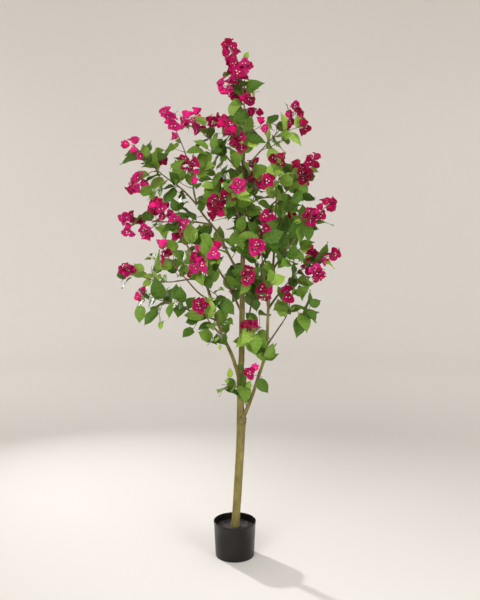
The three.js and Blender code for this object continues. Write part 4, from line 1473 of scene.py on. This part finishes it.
def build_stage(settings):
    """A round floor that turns up into a low wall all round."""
    turn_at, curve = settings.cove_start, settings.cove_radius
    profile = [(0, 0), (0.5 * turn_at, 0), (turn_at, 0)]
    for step in range(1, COVE_STEPS + 1):
        angle = step / COVE_STEPS * math.pi / 2
        profile.append((turn_at + curve * math.sin(angle), curve * (1 - math.cos(angle))))
    profile.append((turn_at + curve, settings.wall_height))
    paper = make_material("studio_floor", settings.floor_color, 0.9, Specular_IOR_Level=0.1)
    make_object("studio_floor", spun(profile, FLOOR_STEPS), [paper])


# Lamps: name, place, aim, width, spread in degrees, watts, colour
LAMPS = [
    ("key_light", (-1.95, 2.2, 1.74), (0.35, -0.75, 0.1), 0.18, 66, 12.0, (0.98, 0.98, 0.99)),
    ("front_light", (-1.4, -3.4, 2.9), (0, 0.2, 0.9), 2.6, 180, 86, (1, 0.99, 0.99)),
    ("side_light", (2.6, -3.0, 2.2), (0, 0.2, 0.9), 2.2, 180, 60, (1, 0.99, 0.99)),
    ("pool_light", (1.0, -0.7, 3.3), (1.0, -0.7, 0), 1.2, 60, 1.75, (0.97, 0.98, 1)),
    ("left_wall_light", (-2.6, 2.2, 2.9), (-2.2, 4.9, 0.9), 1.6, 130, 5.4, (1, 0.965, 0.925)),
    ("right_wall_light", (2.4, 2.2, 2.9), (2.0, 4.9, 0.9), 1.6, 130, 3.8, (1, 0.965, 0.925)),
    ("left_back_light", (-1.8, 2.1, 3.3), (-1.8, 2.5, 0), 1.4, 110, 12.4, (1, 0.98, 0.96)),
    ("right_back_light", (1.5, 2.2, 3.3), (1.5, 2.6, 0), 1.4, 110, 9.6, (1, 0.98, 0.96)),
    ("high_wall_light", (0, 2.3, 2.6), (0, 4.9, 2.3), 1.8, 140, 5.1, (1, 0.965, 0.925)),
]
AIR_LIGHT = 0.30
AIR_COLOR = (0.95, 0.93, 0.9, 1)
CAMERA_PLACE = (0.0188, -3.0, 1.38)
CAMERA_TILT = 81.61               # degrees from straight down
CAMERA_LENS = 52.15
SENSOR_WIDTH = 36


def add_lamp(name, place, aim, width, spread, watts, color):
    light = bpy.data.lights.new(name, "AREA")
    light.shape = "DISK"
    light.size = width
    light.spread = math.radians(spread)
    light.energy = watts
    light.color = color
    lamp = bpy.data.objects.new(name, light)
    lamp.location = place
    lamp.rotation_euler = (Vector(aim) - Vector(place)).to_track_quat("-Z", "Y").to_euler()
    lamp.visible_camera = False
    bpy.context.collection.objects.link(lamp)


def add_camera():
    camera = bpy.data.cameras.new("camera")
    camera.lens = CAMERA_LENS
    camera.sensor_width = SENSOR_WIDTH
    holder = bpy.data.objects.new("camera", camera)
    holder.location = CAMERA_PLACE
    holder.rotation_euler = (math.radians(CAMERA_TILT), 0, 0)
    bpy.context.collection.objects.link(holder)
    bpy.context.scene.camera = holder


# ---------- settings ----------

def length_setting(name, default, description):
    return bpy.props.FloatProperty(name=name, description=description, default=default,
                                   unit="LENGTH", min=0, precision=4)


def color_setting(name, default, description):
    return bpy.props.FloatVectorProperty(name=name, description=description, default=default,
                                         subtype="COLOR", size=3, min=0, max=1)


class PotSettings(bpy.types.PropertyGroup):
    wall: length_setting("Wall", 2 * MM, "Thickness of the pot's wall")
    band_height: length_setting("Band", 9 * MM, "Height of the thicker band at the rim")
    band_proud: length_setting("Band step", 0.8 * MM, "How far the band stands out")
    foot_round: length_setting("Foot round", 2.5 * MM, "Rounding of the foot's edge")
    color: color_setting("Plastic", (0.0075, 0.0058, 0.0052), "Colour of the plastic")
    pebbles: bpy.props.IntProperty(name="Pebbles", description="Pebbles half sunk in the fill",
                                   default=150, min=0)
    lumps: bpy.props.FloatProperty(name="Lumps", description="Height of the fill's lumps",
                                   default=1.0, min=0, subtype="FACTOR")
    fill_color: color_setting("Fill", (0.050, 0.045, 0.041), "Colour of the cement-like fill")


class BarkSettings(bpy.types.PropertyGroup):
    trunk_color: color_setting("Trunk", (0.215, 0.178, 0.044), "Khaki of the trunk's lower part")
    bough_color: color_setting("Boughs", (0.205, 0.145, 0.064), "Brown of the trunk's upper part")
    twig_color: color_setting("Twigs", (0.190, 0.118, 0.058), "Tan brown of the twigs")


class LeafSettings(bpy.types.PropertyGroup):
    dark: color_setting("Dark", (0.067, 0.146, 0.013), "Oldest leaves")
    mid: color_setting("Mid", (0.152, 0.276, 0.032), "Most leaves")
    light: color_setting("Light", (0.290, 0.456, 0.072), "Newer leaves")
    young: color_setting("Young", (0.350, 0.480, 0.065), "Yellow-green young leaves")


class BlossomSettings(bpy.types.PropertyGroup):
    pink: color_setting("Pink", (0.900, 0.024, 0.270), "Brightest bracts")
    magenta: color_setting("Magenta", (0.620, 0.006, 0.128), "Most bracts")
    crimson: color_setting("Crimson", (0.400, 0.002, 0.060), "Deepest bracts")
    star: color_setting("Star", (0.90, 0.86, 0.80), "Small true flowers")


class StageSettings(bpy.types.PropertyGroup):
    floor_color: color_setting("Floor", (0.80, 0.768, 0.729), "Pale studio paper")
    cove_start: length_setting("Cove start", 3.5, "How far out the floor begins to turn up")
    cove_radius: length_setting("Cove radius", 1.3, "Radius of the turn")
    wall_height: length_setting("Wall height", 3.4, "Height of the wall all round")


SETTINGS = {"pot": PotSettings, "bark": BarkSettings, "leaf": LeafSettings,
            "blossom": BlossomSettings, "stage": StageSettings}


def settings_of(context, key):
    return getattr(context.scene, f"bougainvillea_{key}")


# ---------- operators ----------

# A leaf's faces, veins and underside: name, what its colour is multiplied and lifted by, roughness
LEAF_PARTS = (("", 1, 0, 0.48), ("_vein", 1.25, 0.008, 0.5), ("_underside", 1.1, 0.01, 0.65))
LEAF_SHINE = 0.17
BRACT_FINISH = {"Specular_IOR_Level": 0.1, "Sheen_Weight": 0.12, "Sheen_Roughness": 0.4}
# Painted shade: the inner side of a bract is this share of its colour.
INSIDE_PAINTED_SHADE = 0.6
FINE_TWIG_COLOR = (0.240, 0.150, 0.060)
PETIOLE_COLOR = (0.130, 0.150, 0.035)
STALK_COLOR = (0.330, 0.160, 0.090)
TUBE_COLOR = (0.620, 0.200, 0.180)


class BOUGAINVILLEA_OT_stage(bpy.types.Operator):
    """Adds the pale floor, the lights and the camera"""
    bl_idname = "bougainvillea.stage"
    bl_label = "Add Studio"

    def execute(self, context):
        settings = settings_of(context, "stage")
        build_stage(settings)
        for lamp in LAMPS:
            add_lamp(*lamp)
        world = bpy.data.worlds.new("studio_air")
        world.use_nodes = True
        background = world.node_tree.nodes["Background"]
        background.inputs["Color"].default_value = AIR_COLOR
        background.inputs["Strength"].default_value = AIR_LIGHT
        context.scene.world = world
        context.scene.view_settings.view_transform = "Standard"
        add_camera()
        return {"FINISHED"}


class BOUGAINVILLEA_OT_pot(bpy.types.Operator):
    """Adds the nursery pot and its pebbly fill"""
    bl_idname = "bougainvillea.pot"
    bl_label = "Add Pot and Fill"

    def execute(self, context):
        settings = settings_of(context, "pot")
        build_pot(settings, pot_material(settings.color))
        build_fill(settings, fill_material(settings.fill_color))
        return {"FINISHED"}


class BOUGAINVILLEA_OT_limbs(bpy.types.Operator):
    """Adds the trunk and the boughs with their bark"""
    bl_idname = "bougainvillea.limbs"
    bl_label = "Add Trunk and Boughs"

    def execute(self, context):
        settings = settings_of(context, "bark")
        khaki, brown = settings.trunk_color, settings.bough_color
        limbs = plant().limbs
        build_trunk(limbs, bark_material("trunk_bark", khaki, brown, 0.8, 1.5))
        build_boughs(limbs, [bark_material("bough_bark", khaki, brown, 0.7, 1.3),
                             bark_material("branch_bark", shade(khaki, 0.5), brown, 0.7, 1.1)])
        return {"FINISHED"}


class BOUGAINVILLEA_OT_twigs(bpy.types.Operator):
    """Adds the twigs and the leaves' stalks"""
    bl_idname = "bougainvillea.twigs"
    bl_label = "Add Twigs"

    def execute(self, context):
        color = settings_of(context, "bark").twig_color
        materials = {
            "twig": make_material("twig_bark", color, 0.6),
            "fine_twig": make_material("fine_twig_bark", FINE_TWIG_COLOR, 0.55),
            "petiole": make_material("leaf_stalk", PETIOLE_COLOR, 0.5),
        }
        build_twigs(plant().masses, materials)
        return {"FINISHED"}


class BOUGAINVILLEA_OT_leaves(bpy.types.Operator):
    """Adds the leaves, each tone a piece of its own"""
    bl_idname = "bougainvillea.leaves"
    bl_label = "Add Leaves"

    def execute(self, context):
        settings = settings_of(context, "leaf")
        materials = {tone: [] for tone in TONES}
        for tone in TONES:
            for part, factor, lift, roughness in LEAF_PARTS:
                color = [channel * factor + lift for channel in getattr(settings, tone)]
                materials[tone].append(make_material(f"leaf_{tone}{part}", color, roughness,
                                                     Specular_IOR_Level=LEAF_SHINE))
        build_leaves(plant().masses, materials)
        return {"FINISHED"}


class BOUGAINVILLEA_OT_blossom(bpy.types.Operator):
    """Adds the bracts, the small white flowers and their stalks"""
    bl_idname = "bougainvillea.blossom"
    bl_label = "Add Blossom"

    def execute(self, context):
        settings = settings_of(context, "blossom")
        materials = {
            "star": make_material("star_flower", settings.star, 0.6),
            "stalk": make_material("blossom_stalk", STALK_COLOR, 0.6),
            "tube": make_material("flower_tube", TUBE_COLOR, 0.6),
        }
        for _, tone in BRACT_TONES:
            color = getattr(settings, tone)
            # Each tone's second material is a darker copy for the bract's inner side: painted
            # shade.
            materials[tone] = [make_material(f"bract_{tone}", color, 0.7, **BRACT_FINISH),
                               make_material(f"bract_{tone}_inside", shade(color, INSIDE_PAINTED_SHADE),
                                             0.7, **BRACT_FINISH)]
        build_blossom(plant().masses, materials)
        return {"FINISHED"}


OPERATORS = [BOUGAINVILLEA_OT_stage, BOUGAINVILLEA_OT_pot, BOUGAINVILLEA_OT_limbs,
             BOUGAINVILLEA_OT_twigs, BOUGAINVILLEA_OT_leaves, BOUGAINVILLEA_OT_blossom]


class BOUGAINVILLEA_PT_panel(bpy.types.Panel):
    """Lists the pieces of the tree and their settings"""
    bl_idname = "BOUGAINVILLEA_PT_panel"
    bl_label = "Bougainvillea"
    bl_space_type = "VIEW_3D"
    bl_region_type = "UI"
    bl_category = "Bougainvillea"

    def draw(self, context):
        for operator in OPERATORS:
            self.layout.operator(operator.bl_idname)
        for key, group in SETTINGS.items():
            column = self.layout.column(align=True)
            column.label(text=key.title())
            for name in group.__annotations__:
                column.prop(settings_of(context, key), name)


def register():
    for group in SETTINGS.values():
        bpy.utils.register_class(group)
    for key, group in SETTINGS.items():
        setattr(bpy.types.Scene, f"bougainvillea_{key}", bpy.props.PointerProperty(type=group))
    for operator in OPERATORS:
        bpy.utils.register_class(operator)
    bpy.utils.register_class(BOUGAINVILLEA_PT_panel)


def unregister():
    bpy.utils.unregister_class(BOUGAINVILLEA_PT_panel)
    for operator in reversed(OPERATORS):
        bpy.utils.unregister_class(operator)
    for key in SETTINGS:
        delattr(bpy.types.Scene, f"bougainvillea_{key}")
    for group in SETTINGS.values():
        bpy.utils.unregister_class(group)


def main():
    register()
    bpy.ops.bougainvillea.stage()
    bpy.ops.bougainvillea.pot()
    bpy.ops.bougainvillea.limbs()
    bpy.ops.bougainvillea.twigs()
    bpy.ops.bougainvillea.leaves()
    bpy.ops.bougainvillea.blossom()


if __name__ == "__main__":
    main()
